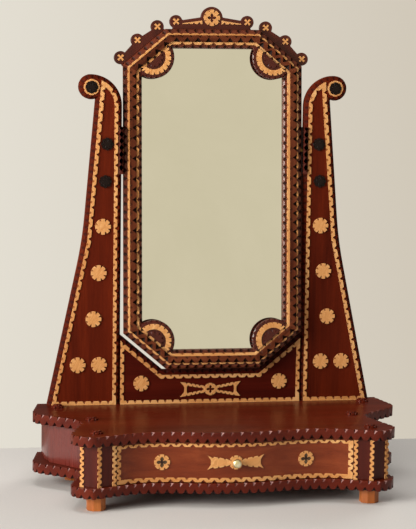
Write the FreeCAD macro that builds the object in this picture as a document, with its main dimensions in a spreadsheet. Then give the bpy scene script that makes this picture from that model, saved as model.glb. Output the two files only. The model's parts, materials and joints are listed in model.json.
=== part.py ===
import FreeCAD, Part
import math
import os
import re

import Sketcher

# Driving sizes in millimetres and degrees. Depths run forward from the front plane of the uprights,
# heights run up from the piece that carries the part, and plan widths add up from the middle outwards.
SIZES = {
    # feet, boards and case
    "foot_height": 20.0,
    "foot_across": 25.0,
    "foot_front_inboard": 6.5,
    "foot_front_behind": 29.0,
    "foot_rear_inboard": 59.0,
    "foot_rear_depth": 12.0,
    "base_thick": 14.0,
    "case_height": 56.0,
    "top_thick": 14.0,
    # plan outline of both boards
    "bow_half": 62.0,
    "bow_radius": 278.0,
    "swing_rise": 5.6,
    "hollow_depth": 196.4,
    "hollow_run": 50.0,
    "hollow_radius": 227.0,
    "flare_run": 40.0,
    "flare_rise": 8.0,
    "flare_radius": 103.0,
    "apex_run": 43.0,
    "apex_rise": 25.6,
    "corner_run": 28.0,
    "corner_back": 32.0,
    "corner_radius": 36.0,
    "waist_inward": 20.0,
    "waist_back": 60.0,
    "waist_outward": 7.0,
    "waist_span": 32.0,
    "waist_radius": 30.0,
    "ear_run": 37.0,
    "ear_back": 32.0,
    "ear_tip": 11.0,
    "ear_span": 36.0,
    "ear_radius": 32.0,
    "ear_taper": 10.0,
    "back_overhang": 2.0,
    # case walls and corner posts
    "wall_inset": 8.0,
    "notch_inset": 2.4,
    "bend_inset": 11.2,
    "ear_inset": 16.0,
    "wall_thick": 8.0,
    "back_thick": 8.0,
    "post_inset": 5.5,
    "post_behind": 9.0,
    "post_face_run": 26.5,
    "post_face_drop": 9.2,
    "post_side_run": 22.0,
    "post_side_drop": 10.5,
    "post_depth": 22.0,
    "strip_width": 6.0,
    # drawer
    "drawer_gap": 0.8,
    "drawer_inset": 6.0,
    "drawer_front_thick": 12.0,
    "drawer_side_inset": 6.0,
    "drawer_side_thick": 7.0,
    "drawer_side_height": 43.0,
    "drawer_length": 158.0,
    "drawer_back_thick": 7.0,
    "drawer_bottom_thick": 4.0,
    "slide_gap": 0.3,
    "runner_height": 5.0,
    "guide_width": 12.0,
    "guide_height": 16.0,
    "stop_length": 30.0,
    "stop_width": 8.0,
    "stop_height": 4.0,
    "stop_spread": 80.0,
    # uprights
    "upright_gap": 131.4,
    "upright_thick": 15.0,
    "upright_foot": 103.6,
    "kink_height": 235.0,
    "kink_out": 54.1,
    "kink_blend": 35.0,
    "kink_radius": 570.0,
    "scroll_height": 452.7,
    "scroll_out": 43.6,
    "scroll_radius": 17.5,
    "neck_inward": 6.5,
    "dowel_radius": 4.0,
    "dowel_in_board": 12.0,
    "dowel_in_upright": 24.0,
    "dowel_first": 26.0,
    "dowel_pitch": 50.0,
    # inlay and ornaments
    "inlay_margin": 5.5,
    "inlay_width": 5.4,
    "inlay_proud": 1.2,
    "inlay_tip": 8.5,
    "ring_radius": 11.4,
    "rosette_radius": 11.25,
    "rosette_thick": 2.0,
    "rosette_notch": 3.6,
    "rosette_gape": 2.8,
    "rosette_first": 58.0,
    "rosette_pitch": 66.0,
    "rosette_pair": 30.6,
    "button_radius": 8.3,
    "button_thick": 4.5,
    "button_notch": 2.7,
    "button_gape": 2.1,
    "button_first": 320.0,
    "button_pitch": 53.0,
    "button_ear_inboard": 36.0,
    "button_ear_depth": 13.0,
    "button_waist_inboard": 19.0,
    "button_waist_behind": 27.0,
    "button_post_behind": 8.0,
    # lower panel
    "panel_thick": 10.0,
    "panel_gap": 3.7,
    "panel_bend_out": 1.9,
    "panel_inlay_margin": 0.4,
    "panel_top_margin": 7.1,
    "panel_rosette_spread": 100.7,
    "panel_rosette_height": 30.0,
    "panel_bow_height": 20.0,
    "panel_bow_half": 47.0,
    "panel_bow_end": 10.0,
    "panel_bow_fork": 7.0,
    "panel_bow_waist": 2.4,
    "panel_bow_eye": 8.5,
    # pivots
    "pivot_height": 363.7,
    "pivot_depth": 8.5,
    "pin_radius": 2.0,
    "pin_play": 0.05,
    "pin_in_upright": 22.0,
    "pin_in_stile": 14.0,
    "bush_radius": 3.5,
    "bush_length": 15.0,
    "swing_gap": 2.2,
    "swing_play": 0.4,
    "block_height": 66.0,
    "block_lip": 5.0,
    "block_lip_thick": 3.0,
    # mirror frame
    "mirror_tilt": 4.67,
    "mirror_up": 171.2,
    "mirror_down": 311.2,
    "chamfer_run": 61.26,
    "chamfer_rise": 51.39,
    "rail_width": 27.2,
    "rail_thick": 18.0,
    "rail_front": 5.0,
    "rebate_width": 7.0,
    "rebate_depth": 9.0,
    "layer_margin": 6.2,
    "layer_inset": 5.0,
    "layer_thick": 3.0,
    "ridge_margin": 10.4,
    "ridge_inset": 9.2,
    "ridge_thick": 3.0,
    "glass_play": 0.5,
    "glass_thick": 3.0,
    "backing_thick": 3.0,
    "fillet_width": 5.0,
    "fan_radius": 30.4,
    "fan_centre": 18.8,
    "fan_shoulder": 3.0,
    "fan_play": 0.4,
    "fan_thick": 4.0,
    "fan_ring_outer": 25.2,
    "fan_ring_inner": 17.4,
    # crest
    "crest_thick": 6.0,
    "crest_lobe_radius": 9.3,
    "gable_half": 57.0,
    "gable_taper": 4.5,
    "gable_edge": 11.8,
    "gable_peak": 20.0,
    "gable_lobe_spread": 51.5,
    "gable_lobe_height": 11.1,
    "disc_radius": 15.8,
    "disc_height": 16.8,
    "slant_taper": 4.0,
    "slant_edge": 9.4,
    "slant_peak": 14.4,
    "slant_lobe_spread": 34.3,
    "slant_lobe_height": 9.4,
    "slant_mid_height": 13.0,
    "crest_rosette_radius": 5.2,
    "crest_notch": 1.7,
    "crest_gape": 2.6,
    "disc_rosette_radius": 11.8,
    "disc_cross": 6.2,
    "cross_arm": 1.8,
    # drawer ornaments and knob
    "drawer_rosette_spread": 99.3,
    "drawer_rosette_radius": 10.5,
    "drawer_cross": 4.7,
    "drawer_bow_half": 39.0,
    "drawer_bow_end": 9.0,
    "drawer_bow_fork": 6.3,
    "drawer_bow_waist": 2.2,
    "drawer_bow_eye": 10.0,
    "knob_radius": 6.2,
    "knob_crown": 8.0,
    "knob_length": 13.0,
    "knob_belly": 9.0,
    "knob_waist": 4.0,
    "knob_neck": 3.2,
    "knob_foot": 3.8,
    "stud_radius": 2.0,
    "stud_length": 18.0,
    "hole_play": 0.1,
}

doc = FreeCAD.newDocument("dressing_table_mirror")
sheet = doc.addObject("Spreadsheet::Sheet", "sizes")
for row, (alias, number) in enumerate(SIZES.items(), start=1):
    sheet.set("A%d" % row, alias)
    sheet.set("B%d" % row, str(number))
    sheet.setAlias("B%d" % row, alias)
doc.recompute()

# Derived sizes, written as formulas of the cells above.
BASE_TOP = "(foot_height + base_thick)"
CASE_TOP = "(foot_height + base_thick + case_height)"
STAND_LEVEL = "(foot_height + base_thick + case_height + top_thick)"
PIVOT_LEVEL = "(foot_height + base_thick + case_height + top_thick + pivot_height)"
APEX_DEPTH = "(hollow_depth + apex_rise)"
DISC_TOP = "(mirror_up + disc_height + disc_radius)"
CREST_LEAN = "(%s * sin(mirror_tilt) + (rail_thick - rail_front) * cos(mirror_tilt))" % DISC_TOP
CREST_BACK = "(pivot_depth + %s)" % CREST_LEAN
STAND_PLANE = "((%s - %s) / 2)" % (APEX_DEPTH, CREST_BACK)

FLARE_X = "(bow_half + hollow_run + flare_run)"
APEX_X = "(bow_half + hollow_run + flare_run + apex_run)"
CORNER_X = "(%s + corner_run)" % APEX_X
CORNER_Y = "(corner_back - %s)" % APEX_DEPTH
WAIST_X = "(%s - waist_inward)" % CORNER_X
WAIST_Y = "(%s + waist_back)" % CORNER_Y
NOTCH_X = "(%s + waist_outward)" % WAIST_X
NOTCH_Y = "(%s + waist_span)" % WAIST_Y
EAR_X = "(%s + ear_run)" % NOTCH_X
EAR_Y = "(%s + ear_back)" % NOTCH_Y
TIP_X = "(%s + ear_tip)" % EAR_X
TIP_Y = "(%s + ear_span)" % EAR_Y
BOARD_BACK = "(upright_thick + back_overhang)"

POST_X = "(%s - post_inset)" % APEX_X
POST_Y = "(post_behind - %s)" % APEX_DEPTH
POST_INNER_X = "(%s - post_face_run)" % POST_X
POST_OUTER_X = "(%s + post_side_run)" % POST_X
POST_OUTER_Y = "(%s + post_side_drop)" % POST_Y
POST_BACK_Y = "(%s + post_depth)" % POST_OUTER_Y
WALL_WAIST_X = "(%s - wall_inset)" % WAIST_X
WALL_EAR_X = "(%s - ear_inset)" % TIP_X
POST_BACK_X = "(%s + (%s - %s) * post_depth / (%s - %s))" % (
    POST_OUTER_X, WALL_WAIST_X, POST_OUTER_X, WAIST_Y, POST_OUTER_Y)

DRAWER_HALF = "(%s - drawer_gap)" % POST_INNER_X
DRAWER_BACK_FACE = "(drawer_inset + drawer_front_thick - hollow_depth)"
DRAWER_FLOOR = "(%s + runner_height + slide_gap)" % BASE_TOP
DRAWER_SIDE_X = "(%s - drawer_side_inset)" % DRAWER_HALF
DRAWER_INNER_X = "(%s - drawer_side_thick)" % DRAWER_SIDE_X
DRAWER_MIDDLE = "(%s + case_height / 2)" % BASE_TOP
BOW_SAG = "(bow_radius - sqrt(bow_radius ^ 2 - bow_half ^ 2))"
DRAWER_NOSE = "(drawer_inset - hollow_depth - swing_rise - %s)" % BOW_SAG

SCROLL_X = "(upright_gap + scroll_out)"
SHOULDER = "(scroll_height + scroll_radius - scroll_out)"
MIRROR_HALF = "(upright_gap - swing_gap)"
TURN_SIDE = "tan(atan2(chamfer_run; chamfer_rise) / 2)"
TURN_TOP = "tan(45 deg - atan2(chamfer_run; chamfer_rise) / 2)"
CHAMFER = "sqrt(chamfer_run ^ 2 + chamfer_rise ^ 2)"
REBATE_FRONT = "(rail_thick - rail_front - rebate_depth)"
GLASS_EDGE = "(rail_width - rebate_width + glass_play)"


def tie(text):
    """A formula with each cell's name turned into a reference to the sheet."""
    def reference(word):
        return ("sizes." if word.group() in SIZES else "") + word.group()
    return re.sub(r"[a-z_]+", reference, str(text))


def num(text):
    return float(sheet.evalExpression(tie(text)))


def bind(item, prop, text):
    item.setExpression(prop, tie(text))


def minus(text):
    return "-(%s)" % text


def seat(item, x="0", y="0", z="0"):
    for axis, text in zip("xyz", (x, y, z)):
        if text != "0":
            bind(item, ".Placement.Base." + axis, text)
    return item


def on_stand(item, level=STAND_LEVEL):
    """Places an item whose own zero lies on the front plane of the uprights."""
    return seat(item, y=STAND_PLANE, z=level)


def on_mirror(item):
    """Places an item whose own zero is the pivot axis, leaning back with the mirror."""
    lean = FreeCAD.Rotation(FreeCAD.Vector(-1, 0, 0), num("mirror_tilt"))
    item.Placement = FreeCAD.Placement(FreeCAD.Vector(0, 0, 0), lean)
    bind(item, ".Placement.Rotation.Angle", "mirror_tilt")
    return seat(item, y="%s + pivot_depth" % STAND_PLANE, z=PIVOT_LEVEL)


def new_body(label):
    return doc.addObject("PartDesign::Body", label)


def new_sketch(body, role, lift="0"):
    sketch = body.newObject("Sketcher::SketchObject", body.Label + "_profile")
    plane = [feature for feature in body.Origin.OriginFeatures if feature.Role == role][0]
    sketch.AttachmentSupport = (plane, [""])
    sketch.MapMode = "FlatFace"
    if lift != "0":
        bind(sketch, "AttachmentOffset.Base.z", lift)
    return sketch


def fix_point(sketch, geometry, end, x, y):
    """Ties one point of a sketch to a pair of formulas measured from its origin."""
    for kind, axis, text in (("DistanceX", -2, x), ("DistanceY", -1, y)):
        value = num(text)
        if abs(value) < 1e-9:
            sketch.addConstraint(Sketcher.Constraint("PointOnObject", geometry, end, axis))
            continue
        ends = (-1, 1, geometry, end) if value > 0 else (geometry, end, -1, 1)
        index = sketch.addConstraint(Sketcher.Constraint(kind, *ends, abs(value)))
        bind(sketch, "Constraints[%d]" % index, text if value > 0 else minus(text))


def add_loop(sketch, corners):
    """Closed outline of (x, y, radius): radius bends the side that leaves the corner, + outwards on a
    counter-clockwise loop and - inwards, and None keeps it straight."""
    spots = [FreeCAD.Vector(num(x), num(y), 0) for x, y, _ in corners]
    sides = []
    for index, (_, _, radius) in enumerate(corners):
        start = spots[index]
        stop = spots[(index + 1) % len(spots)]
        if radius is None:
            sides.append((sketch.addGeometry(Part.LineSegment(start, stop), False), 1, 2))
            continue
        bend = num(radius)
        chord = stop - start
        sag = abs(bend) - math.sqrt(bend ** 2 - chord.Length ** 2 / 4)
        aside = FreeCAD.Vector(chord.y, -chord.x, 0).normalize() * math.copysign(sag, bend)
        arc = sketch.addGeometry(Part.Arc(start, (start + stop) * 0.5 + aside, stop), False)
        sides.append((arc, 1, 2) if bend > 0 else (arc, 2, 1))
        rule = sketch.addConstraint(Sketcher.Constraint("Radius", arc, abs(bend)))
        bind(sketch, "Constraints[%d]" % rule, radius if bend > 0 else minus(radius))
    for index, (geometry, start, _) in enumerate(sides):
        before, _, stop = sides[index - 1]
        sketch.addConstraint(Sketcher.Constraint("Coincident", before, stop, geometry, start))
        fix_point(sketch, geometry, start, corners[index][0], corners[index][1])


def add_circle(sketch, x, y, radius):
    middle = FreeCAD.Vector(num(x), num(y), 0)
    circle = sketch.addGeometry(Part.Circle(middle, FreeCAD.Vector(0, 0, 1), num(radius)), False)
    rule = sketch.addConstraint(Sketcher.Constraint("Radius", circle, num(radius)))
    bind(sketch, "Constraints[%d]" % rule, radius)
    fix_point(sketch, circle, 3, x, y)


def straight(points):
    return [(x, y, None) for x, y in points]


def mirrored(corners, closing=None):
    """The same path across the middle line, walked back so that it stays counter-clockwise."""
    bends = [closing] + [bend for _, _, bend in corners[:-1]]
    return [(minus(x), y, bend) for (x, y, _), bend in zip(reversed(corners), reversed(bends))]


def flipped(corners, across=False, over=False):
    """A closed loop turned across the middle line, over the level line, or both."""
    loop = list(corners)
    for turn, slot in ((across, 0), (over, 1)):
        if turn:
            bends = [loop[-1][2]] + [bend for _, _, bend in loop[:-1]]
            loop = [
                (minus(x) if slot == 0 else x, minus(y) if slot == 1 else y, bend)
                for (x, y, _), bend in zip(reversed(loop), reversed(bends))
            ]
    return loop


def add_pad(body, sketch, length, backwards=False):
    pad = body.newObject("PartDesign::Pad", body.Label + "_pad")
    pad.Profile = sketch
    pad.Reversed = backwards
    bind(pad, "Length", length)
    return pad


def add_cut(body, sketch, depth, backwards=False):
    doc.recompute()
    whole = body.Shape.Volume
    cut = body.newObject("PartDesign::Pocket", body.Label + "_cut")
    cut.Profile = sketch
    cut.Reversed = backwards
    bind(cut, "Length", depth)
    doc.recompute()
    if body.Shape.Volume >= whole:
        raise RuntimeError(body.Label + ": a cut took nothing away")


def flat_piece(label, loops, thick, lift="0"):
    """A piece cut to a plan outline and raised by its thickness."""
    body = new_body(label)
    sketch = new_sketch(body, "XY_Plane", lift)
    for loop in loops:
        add_loop(sketch, loop)
    add_pad(body, sketch, thick)
    return body


def front_piece(label, loops, thick, front="0", circles=()):
    """A piece cut to a front outline, from its front depth backwards by its thickness."""
    body = new_body(label)
    sketch = new_sketch(body, "XZ_Plane", minus(front) if front != "0" else "0")
    for loop in loops:
        add_loop(sketch, loop)
    for circle in circles:
        add_circle(sketch, *circle)
    add_pad(body, sketch, thick, backwards=True)
    return body


def drill(body, role, lift, spots, radius, depth, backwards):
    sketch = new_sketch(body, role, lift)
    for x, y in spots:
        add_circle(sketch, x, y, radius)
    add_cut(body, sketch, depth, backwards)


def gather(label, items):
    """One node made of several separate pieces."""
    group = doc.addObject("Part::Compound", label)
    group.Links = items
    return group


def copies(label, shapes):
    """One node made of placed copies of a repeated ornament."""
    group = doc.addObject("Part::Feature", label)
    group.Shape = Part.makeCompound(shapes)
    return group


def notched_disc(radius, thick, notches, style, cross=None):
    """A chip-carved rosette facing forward from y = 0: V notches round its rim, sized by the cells of a
    style, and a cross-shaped hole of a given reach."""
    radius, thick = num(radius), num(thick)
    bite, gape = num(style + "_notch"), num(style + "_gape")
    disc = Part.makeCylinder(radius, thick, FreeCAD.Vector(0, 0, 0), FreeCAD.Vector(0, -1, 0))
    tip = FreeCAD.Vector(radius - bite, 0, 0)
    mouth = [FreeCAD.Vector(radius + bite, 0, gape), FreeCAD.Vector(radius + bite, 0, -gape)]
    chip = Part.Face(Part.makePolygon([tip] + mouth + [tip])).extrude(FreeCAD.Vector(0, -thick, 0))
    chips = []
    for index in range(notches):
        turned = chip.copy()
        turned.rotate(FreeCAD.Vector(0, 0, 0), FreeCAD.Vector(0, 1, 0), 360.0 * index / notches)
        chips.append(turned)
    if cross:
        reach, arm = num(cross), num("cross_arm")
        for width, height in ((2 * reach, arm), (arm, 2 * reach)):
            corner = FreeCAD.Vector(-width / 2, -thick, -height / 2)
            chips.append(Part.makeBox(width, thick, height, corner))
    return disc.cut(chips)


def placed(shape, x, y, z, placement=None):
    spot = FreeCAD.Placement(FreeCAD.Vector(x, y, z), FreeCAD.Rotation())
    copy = shape.copy()
    copy.Placement = (placement or FreeCAD.Placement()).multiply(spot)
    return copy


# Boards: both are cut to one outline, a bow between two hollows with a corner lobe and a back ear each side.
half_board = [
    ("bow_half", minus("hollow_depth + swing_rise"), minus("hollow_radius")),
    ("bow_half + hollow_run", minus("hollow_depth"), minus("flare_radius")),
    (FLARE_X, minus("hollow_depth + flare_rise"), None),
    (APEX_X, minus(APEX_DEPTH), "corner_radius"),
    (CORNER_X, CORNER_Y, None),
    (WAIST_X, WAIST_Y, minus("waist_radius")),
    (NOTCH_X, NOTCH_Y, None),
    (EAR_X, EAR_Y, "ear_radius"),
    (TIP_X, TIP_Y, None),
    ("%s - ear_taper" % TIP_X, BOARD_BACK, None),
]
board_outline = half_board + mirrored(half_board, "bow_radius")
on_stand(flat_piece("base_board", [board_outline], "base_thick"), "foot_height")
top_board = on_stand(flat_piece("top_board", [board_outline], "top_thick"), CASE_TOP)

dowel_spots = []
for index in range(2):
    out = "upright_gap + dowel_first + %d * dowel_pitch" % index
    dowel_spots += [(out, "upright_thick / 2"), (minus(out), "upright_thick / 2")]
drill(top_board, "XY_Plane", "top_thick", dowel_spots, "dowel_radius + hole_play",
      "dowel_in_board + hole_play", False)

# Feet: octagonal blocks under the corner posts and the ears.
foot_front = ("%s - foot_front_inboard" % APEX_X, "foot_front_behind - %s" % APEX_DEPTH)
foot_rear = ("%s - foot_rear_inboard" % TIP_X, minus("foot_rear_depth"))
foot_sides = 8
half_facet = 180.0 / foot_sides
for end, (x, y) in (("front", foot_front), ("rear", foot_rear)):
    for side, across in (("left", minus(x)), ("right", x)):
        foot = doc.addObject("Part::Prism", "%s_%s_foot" % (side, end))
        foot.Polygon = foot_sides
        flat_forward = FreeCAD.Rotation(FreeCAD.Vector(0, 0, 1), half_facet)
        foot.Placement = FreeCAD.Placement(FreeCAD.Vector(), flat_forward)
        bind(foot, "Circumradius", "foot_across / 2 / cos(%s)" % half_facet)
        bind(foot, "Height", "foot_height")
        seat(foot, across, "%s + (%s)" % (STAND_PLANE, y))

# Case: bent side walls, a back, and corner posts with two front facets.
wall_path = [
    (POST_BACK_X, POST_BACK_Y),
    (WALL_WAIST_X, WAIST_Y),
    ("%s - wall_inset" % NOTCH_X, "%s + notch_inset" % NOTCH_Y),
    ("%s - bend_inset" % EAR_X, "%s + bend_inset" % EAR_Y),
    (WALL_EAR_X, TIP_Y),
    (WALL_EAR_X, "upright_thick"),
]
wall_inner = [("%s - wall_thick" % x, y) for x, y in reversed(wall_path)]
wall_loop = straight(wall_path + wall_inner)
post_loop = straight([
    (POST_INNER_X, "%s + post_face_drop" % POST_Y),
    (POST_X, POST_Y),
    (POST_OUTER_X, POST_OUTER_Y),
    (POST_BACK_X, POST_BACK_Y),
    (POST_INNER_X, POST_BACK_Y),
])
for side, across in (("left", True), ("right", False)):
    on_stand(flat_piece(side + "_case_side", [flipped(wall_loop, across)], "case_height"), BASE_TOP)
    on_stand(flat_piece(side + "_corner_post", [flipped(post_loop, across)], "case_height"), BASE_TOP)

back_half = "(%s - wall_thick)" % WALL_EAR_X
back_front = "(upright_thick - back_thick)"
back_loop = straight([
    (minus(back_half), back_front), (back_half, back_front),
    (back_half, "upright_thick"), (minus(back_half), "upright_thick")])
on_stand(flat_piece("case_back", [back_loop], "case_height"), BASE_TOP)


def facet_strip(start, stop, share, across):
    """A light strip laid upright on one facet of a corner post, at a share of the facet's length."""
    (ax, ay), (bx, by) = [(num(x), num(y)) for x, y in (start, stop)]
    length = math.hypot(bx - ax, by - ay)
    along = ((bx - ax) / length, (by - ay) / length)
    width = num("strip_width")
    proud = num("inlay_proud")
    begin = share * (length - width)
    foot = [(begin, 0), (begin + width, 0), (begin + width, proud), (begin, proud)]
    sign = -1 if across else 1
    spots = [
        FreeCAD.Vector(sign * (ax + run * along[0] + out * along[1]), ay + run * along[1] - out * along[0], 0)
        for run, out in foot
    ]
    face = Part.Face(Part.makePolygon(spots + spots[:1]))
    return face.extrude(FreeCAD.Vector(0, 0, num("case_height")))


facet_inner = [(x, y) for x, y, _ in post_loop[:2]]
facet_outer = [(x, y) for x, y, _ in post_loop[1:3]]
strip_shapes = [
    placed(facet_strip(*facet, share, across), 0, num(STAND_PLANE), num(BASE_TOP))
    for across in (True, False)
    for facet, share in ((facet_inner, 0.0), (facet_inner, 1.0), (facet_outer, 1.0))
]
copies("post_strips", strip_shapes)

# Drawer guides: a low runner under each drawer side and a fence beside it, with stops behind the front.
# They start behind the corner posts and clear of the drawer front's back.
fence = "(%s + slide_gap)" % DRAWER_SIDE_X
runner_edge = "(%s - drawer_side_thick - slide_gap)" % DRAWER_SIDE_X
guide_front = "max(%s; %s + slide_gap)" % (POST_BACK_Y, DRAWER_BACK_FACE)
guide_loop = straight([
    (runner_edge, "0"), ("%s + guide_width" % fence, "0"), ("%s + guide_width" % fence, "guide_height"),
    (fence, "guide_height"), (fence, "runner_height"), (runner_edge, "runner_height")])
for side, across in (("left", True), ("right", False)):
    guide = front_piece(side + "_drawer_guide", [flipped(guide_loop, across)],
                        "%s - %s" % (back_front, guide_front), guide_front)
    on_stand(guide, BASE_TOP)

stops = []
for side, sign in (("left", -1), ("right", 1)):
    stop = doc.addObject("Part::Box", side + "_stop")
    bind(stop, "Length", "stop_length")
    bind(stop, "Width", "stop_width")
    bind(stop, "Height", "stop_height")
    seat(stop, "%d * stop_spread - stop_length / 2" % sign,
         "%s + %s + slide_gap" % (STAND_PLANE, DRAWER_BACK_FACE), BASE_TOP)
    stops.append(stop)
gather("drawer_stops", stops)

# Uprights: scrolled boards with a straight inner edge and a flared foot.
kink_low = "upright_gap + kink_out + (upright_foot - kink_out) * kink_blend / kink_height"
neck_drop = "sqrt(scroll_radius ^ 2 - neck_inward ^ 2)"
neck_lean = "(scroll_out - neck_inward - kink_out) / (scroll_height - %s - kink_height)" % neck_drop
upright_loop = [
    ("upright_gap", "0", None),
    ("upright_gap + upright_foot", "0", None),
    (kink_low, "kink_height - kink_blend", minus("kink_radius")),
    ("upright_gap + kink_out + kink_blend * %s" % neck_lean, "kink_height + kink_blend", None),
    ("%s - neck_inward" % SCROLL_X, "scroll_height - %s" % neck_drop, "scroll_radius"),
    ("%s + scroll_radius" % SCROLL_X, "scroll_height", "scroll_radius"),
    (SCROLL_X, "scroll_height + scroll_radius", "scroll_out"),
    ("upright_gap", SHOULDER, None),
]


def upright_field(margin, bottom):
    """The upright's outline drawn in by a margin, closed to a point beside the scroll."""
    flare = "(upright_foot - kink_out) / kink_height"
    drawn_in = "(%s) * sqrt(1 + (%s) ^ 2)" % (margin, flare)
    tip_in = "(inlay_tip + %s)" % margin
    tip_rise = "sqrt((scroll_out - (%s)) ^ 2 - %s ^ 2)" % (margin, tip_in)
    return [
        ("upright_gap + %s" % margin, bottom, None),
        ("upright_gap + upright_foot - (%s) * %s - %s" % (bottom, flare, drawn_in), bottom, None),
        ("upright_gap + kink_out - %s" % drawn_in, "kink_height", None),
        ("%s - %s" % (SCROLL_X, tip_in), "%s + %s" % (SHOULDER, tip_rise), "scroll_out - (%s)" % margin),
        ("upright_gap + %s" % margin, SHOULDER, None),
    ]


inlay_inner = "inlay_margin + inlay_width"
for side, across in (("left", True), ("right", False)):
    upright = on_stand(front_piece(side + "_upright", [flipped(upright_loop, across)], "upright_thick"))
    inner_face = minus("upright_gap") if across else "upright_gap"
    drill(upright, "YZ_Plane", inner_face, [("pivot_depth", "pivot_height")], "pin_radius + pin_play",
          "pin_in_upright + hole_play", not across)
    spots = [spot for spot in dowel_spots if (num(spot[0]) < 0) == across]
    drill(upright, "XY_Plane", "0", spots, "dowel_radius + hole_play", "dowel_in_upright + hole_play", True)

    border = front_piece(
        side + "_border",
        [flipped(upright_field("inlay_margin", "0"), across),
         flipped(upright_field(inlay_inner, "inlay_width"), across)],
        "inlay_proud", minus("inlay_proud"))
    scroll_x = minus(SCROLL_X) if across else SCROLL_X
    ring = front_piece(
        side + "_scroll_ring", [], "inlay_proud", minus("inlay_proud"),
        [(scroll_x, "scroll_height", "ring_radius"),
         (scroll_x, "scroll_height", "button_radius + hole_play")])
    gather(side + "_upright_inlay", [on_stand(border), on_stand(ring)])

dowels = []
for index, (x, y) in enumerate(dowel_spots):
    dowel = doc.addObject("Part::Cylinder", "dowel_%d" % index)
    bind(dowel, "Radius", "dowel_radius")
    bind(dowel, "Height", "dowel_in_board + dowel_in_upright")
    seat(dowel, x, "%s + (%s)" % (STAND_PLANE, y), "%s - dowel_in_board" % STAND_LEVEL)
    dowels.append(dowel)
gather("upright_dowels", dowels)


def field_middle(height):
    """Half way between the inner edge of an upright and its outer edge at a height."""
    if height < num("kink_height"):
        lean = (num("kink_out") - num("upright_foot")) / num("kink_height")
    else:
        lean = num(neck_lean)
    outer = num("kink_out") + lean * (height - num("kink_height"))
    return num("upright_gap") + outer / 2


light_rosette = notched_disc("rosette_radius", "rosette_thick", 8, "rosette")
dark_button = notched_disc("button_radius", "button_thick", 8, "button")
stand_plane = num(STAND_PLANE)
stand_level = num(STAND_LEVEL)

# A pair of rosettes at the flared foot, and single ones in line above it.
pair_height = num("rosette_first")
rosette_spots = [
    (field_middle(pair_height) + side * num("rosette_pair") / 2, pair_height) for side in (-1, 1)]
for index in range(1, 4):
    height = pair_height + index * num("rosette_pitch")
    rosette_spots.append((field_middle(height), height))
button_spots = [
    (field_middle(height), height)
    for height in (num("button_first"), num("button_first") + num("button_pitch"))
] + [(num(SCROLL_X), num("scroll_height"))]
copies("upright_rosettes", [
    placed(light_rosette, side * x, stand_plane, stand_level + z)
    for side in (-1, 1) for x, z in rosette_spots])
copies("upright_buttons", [
    placed(dark_button, side * x, stand_plane, stand_level + z)
    for side in (-1, 1) for x, z in button_spots])

# Buttons that stand on the top board, and one on the flat of each case side.
upright_turn = FreeCAD.Rotation(FreeCAD.Vector(1, 0, 0), -90)
board_spots = [
    (num("%s - button_ear_inboard" % TIP_X), -num("button_ear_depth")),
    (num("%s - button_waist_inboard" % WAIST_X), num("%s + button_waist_behind" % WAIST_Y)),
    (num(foot_front[0]), num(foot_front[1])),
]
case_buttons = []
for side in (-1, 1):
    for x, y in board_spots:
        standing = FreeCAD.Placement(FreeCAD.Vector(side * x, stand_plane + y, stand_level), upright_turn)
        case_buttons.append(placed(dark_button, 0, 0, 0, standing))
    run_x = num(WALL_WAIST_X) - num(POST_OUTER_X)
    run_y = num(WAIST_Y) - num(POST_OUTER_Y)
    share = (num("post_depth") + num("button_radius") + num("button_post_behind")) / run_y
    spot = FreeCAD.Vector(side * (num(POST_OUTER_X) + share * run_x),
                          stand_plane + num(POST_OUTER_Y) + share * run_y, num(DRAWER_MIDDLE))
    outward = FreeCAD.Rotation(FreeCAD.Vector(0, -1, 0), FreeCAD.Vector(side * run_y, -run_x, 0))
    case_buttons.append(placed(dark_button, 0, 0, 0, FreeCAD.Placement(spot, outward)))
copies("case_buttons", case_buttons)

# Lower panel: fills the gap between the uprights and follows the foot of the mirror with a gap.
def panel_field(side, top, bottom, bend_out="0"):
    """The panel's outline drawn in from its sides, from its upper edges and from its foot."""
    side_x = "upright_gap - (%s)" % side
    bend_x = "%s - chamfer_run + (%s) * %s + %s" % (MIRROR_HALF, top, TURN_TOP, bend_out)
    bend_z = "pivot_height - mirror_down - panel_gap - (%s)" % top
    side_z = "%s + (%s - (%s)) * chamfer_rise / chamfer_run" % (bend_z, side_x, bend_x)
    half = straight([(side_x, bottom), (side_x, side_z), (bend_x, bend_z)])
    return half + mirrored(half)


def bow_tie(middle, cells):
    """A bow-tie with forked ends about a height, narrow in the middle, sized by its own cells."""
    half, end, fork, waist = ["%s_%s" % (cells, word) for word in ("half", "end", "fork", "waist")]
    arm = straight([
        (half, "%s - %s" % (middle, end)), ("%s - %s" % (half, fork), middle),
        (half, "%s + %s" % (middle, end))])
    low = ("0", "%s - %s" % (middle, waist), None)
    high = ("0", "%s + %s" % (middle, waist), None)
    return [low] + arm + [high] + mirrored(arm)


on_stand(front_piece("lower_panel", [panel_field("0", "0", "0", "panel_bend_out")], "panel_thick"))
panel_inner = "panel_inlay_margin + inlay_width"
on_stand(front_piece(
    "lower_panel_inlay",
    [panel_field("panel_inlay_margin", "panel_top_margin", "0"),
     panel_field(panel_inner, "panel_top_margin + inlay_width", "inlay_width")],
    "inlay_proud", minus("inlay_proud")))
panel_bow = front_piece(
    "lower_panel_bow", [bow_tie("panel_bow_height", "panel_bow")], "inlay_proud", minus("inlay_proud"))
eye_sketch = new_sketch(panel_bow, "XZ_Plane", "inlay_proud")
add_circle(eye_sketch, "0", "panel_bow_height", "panel_bow_eye")
add_pad(panel_bow, eye_sketch, "inlay_proud", backwards=True)
on_stand(panel_bow)
copies("lower_panel_rosettes", [
    placed(light_rosette, side * num("panel_rosette_spread"), stand_plane,
           stand_level + num("panel_rosette_height")) for side in (-1, 1)])

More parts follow.
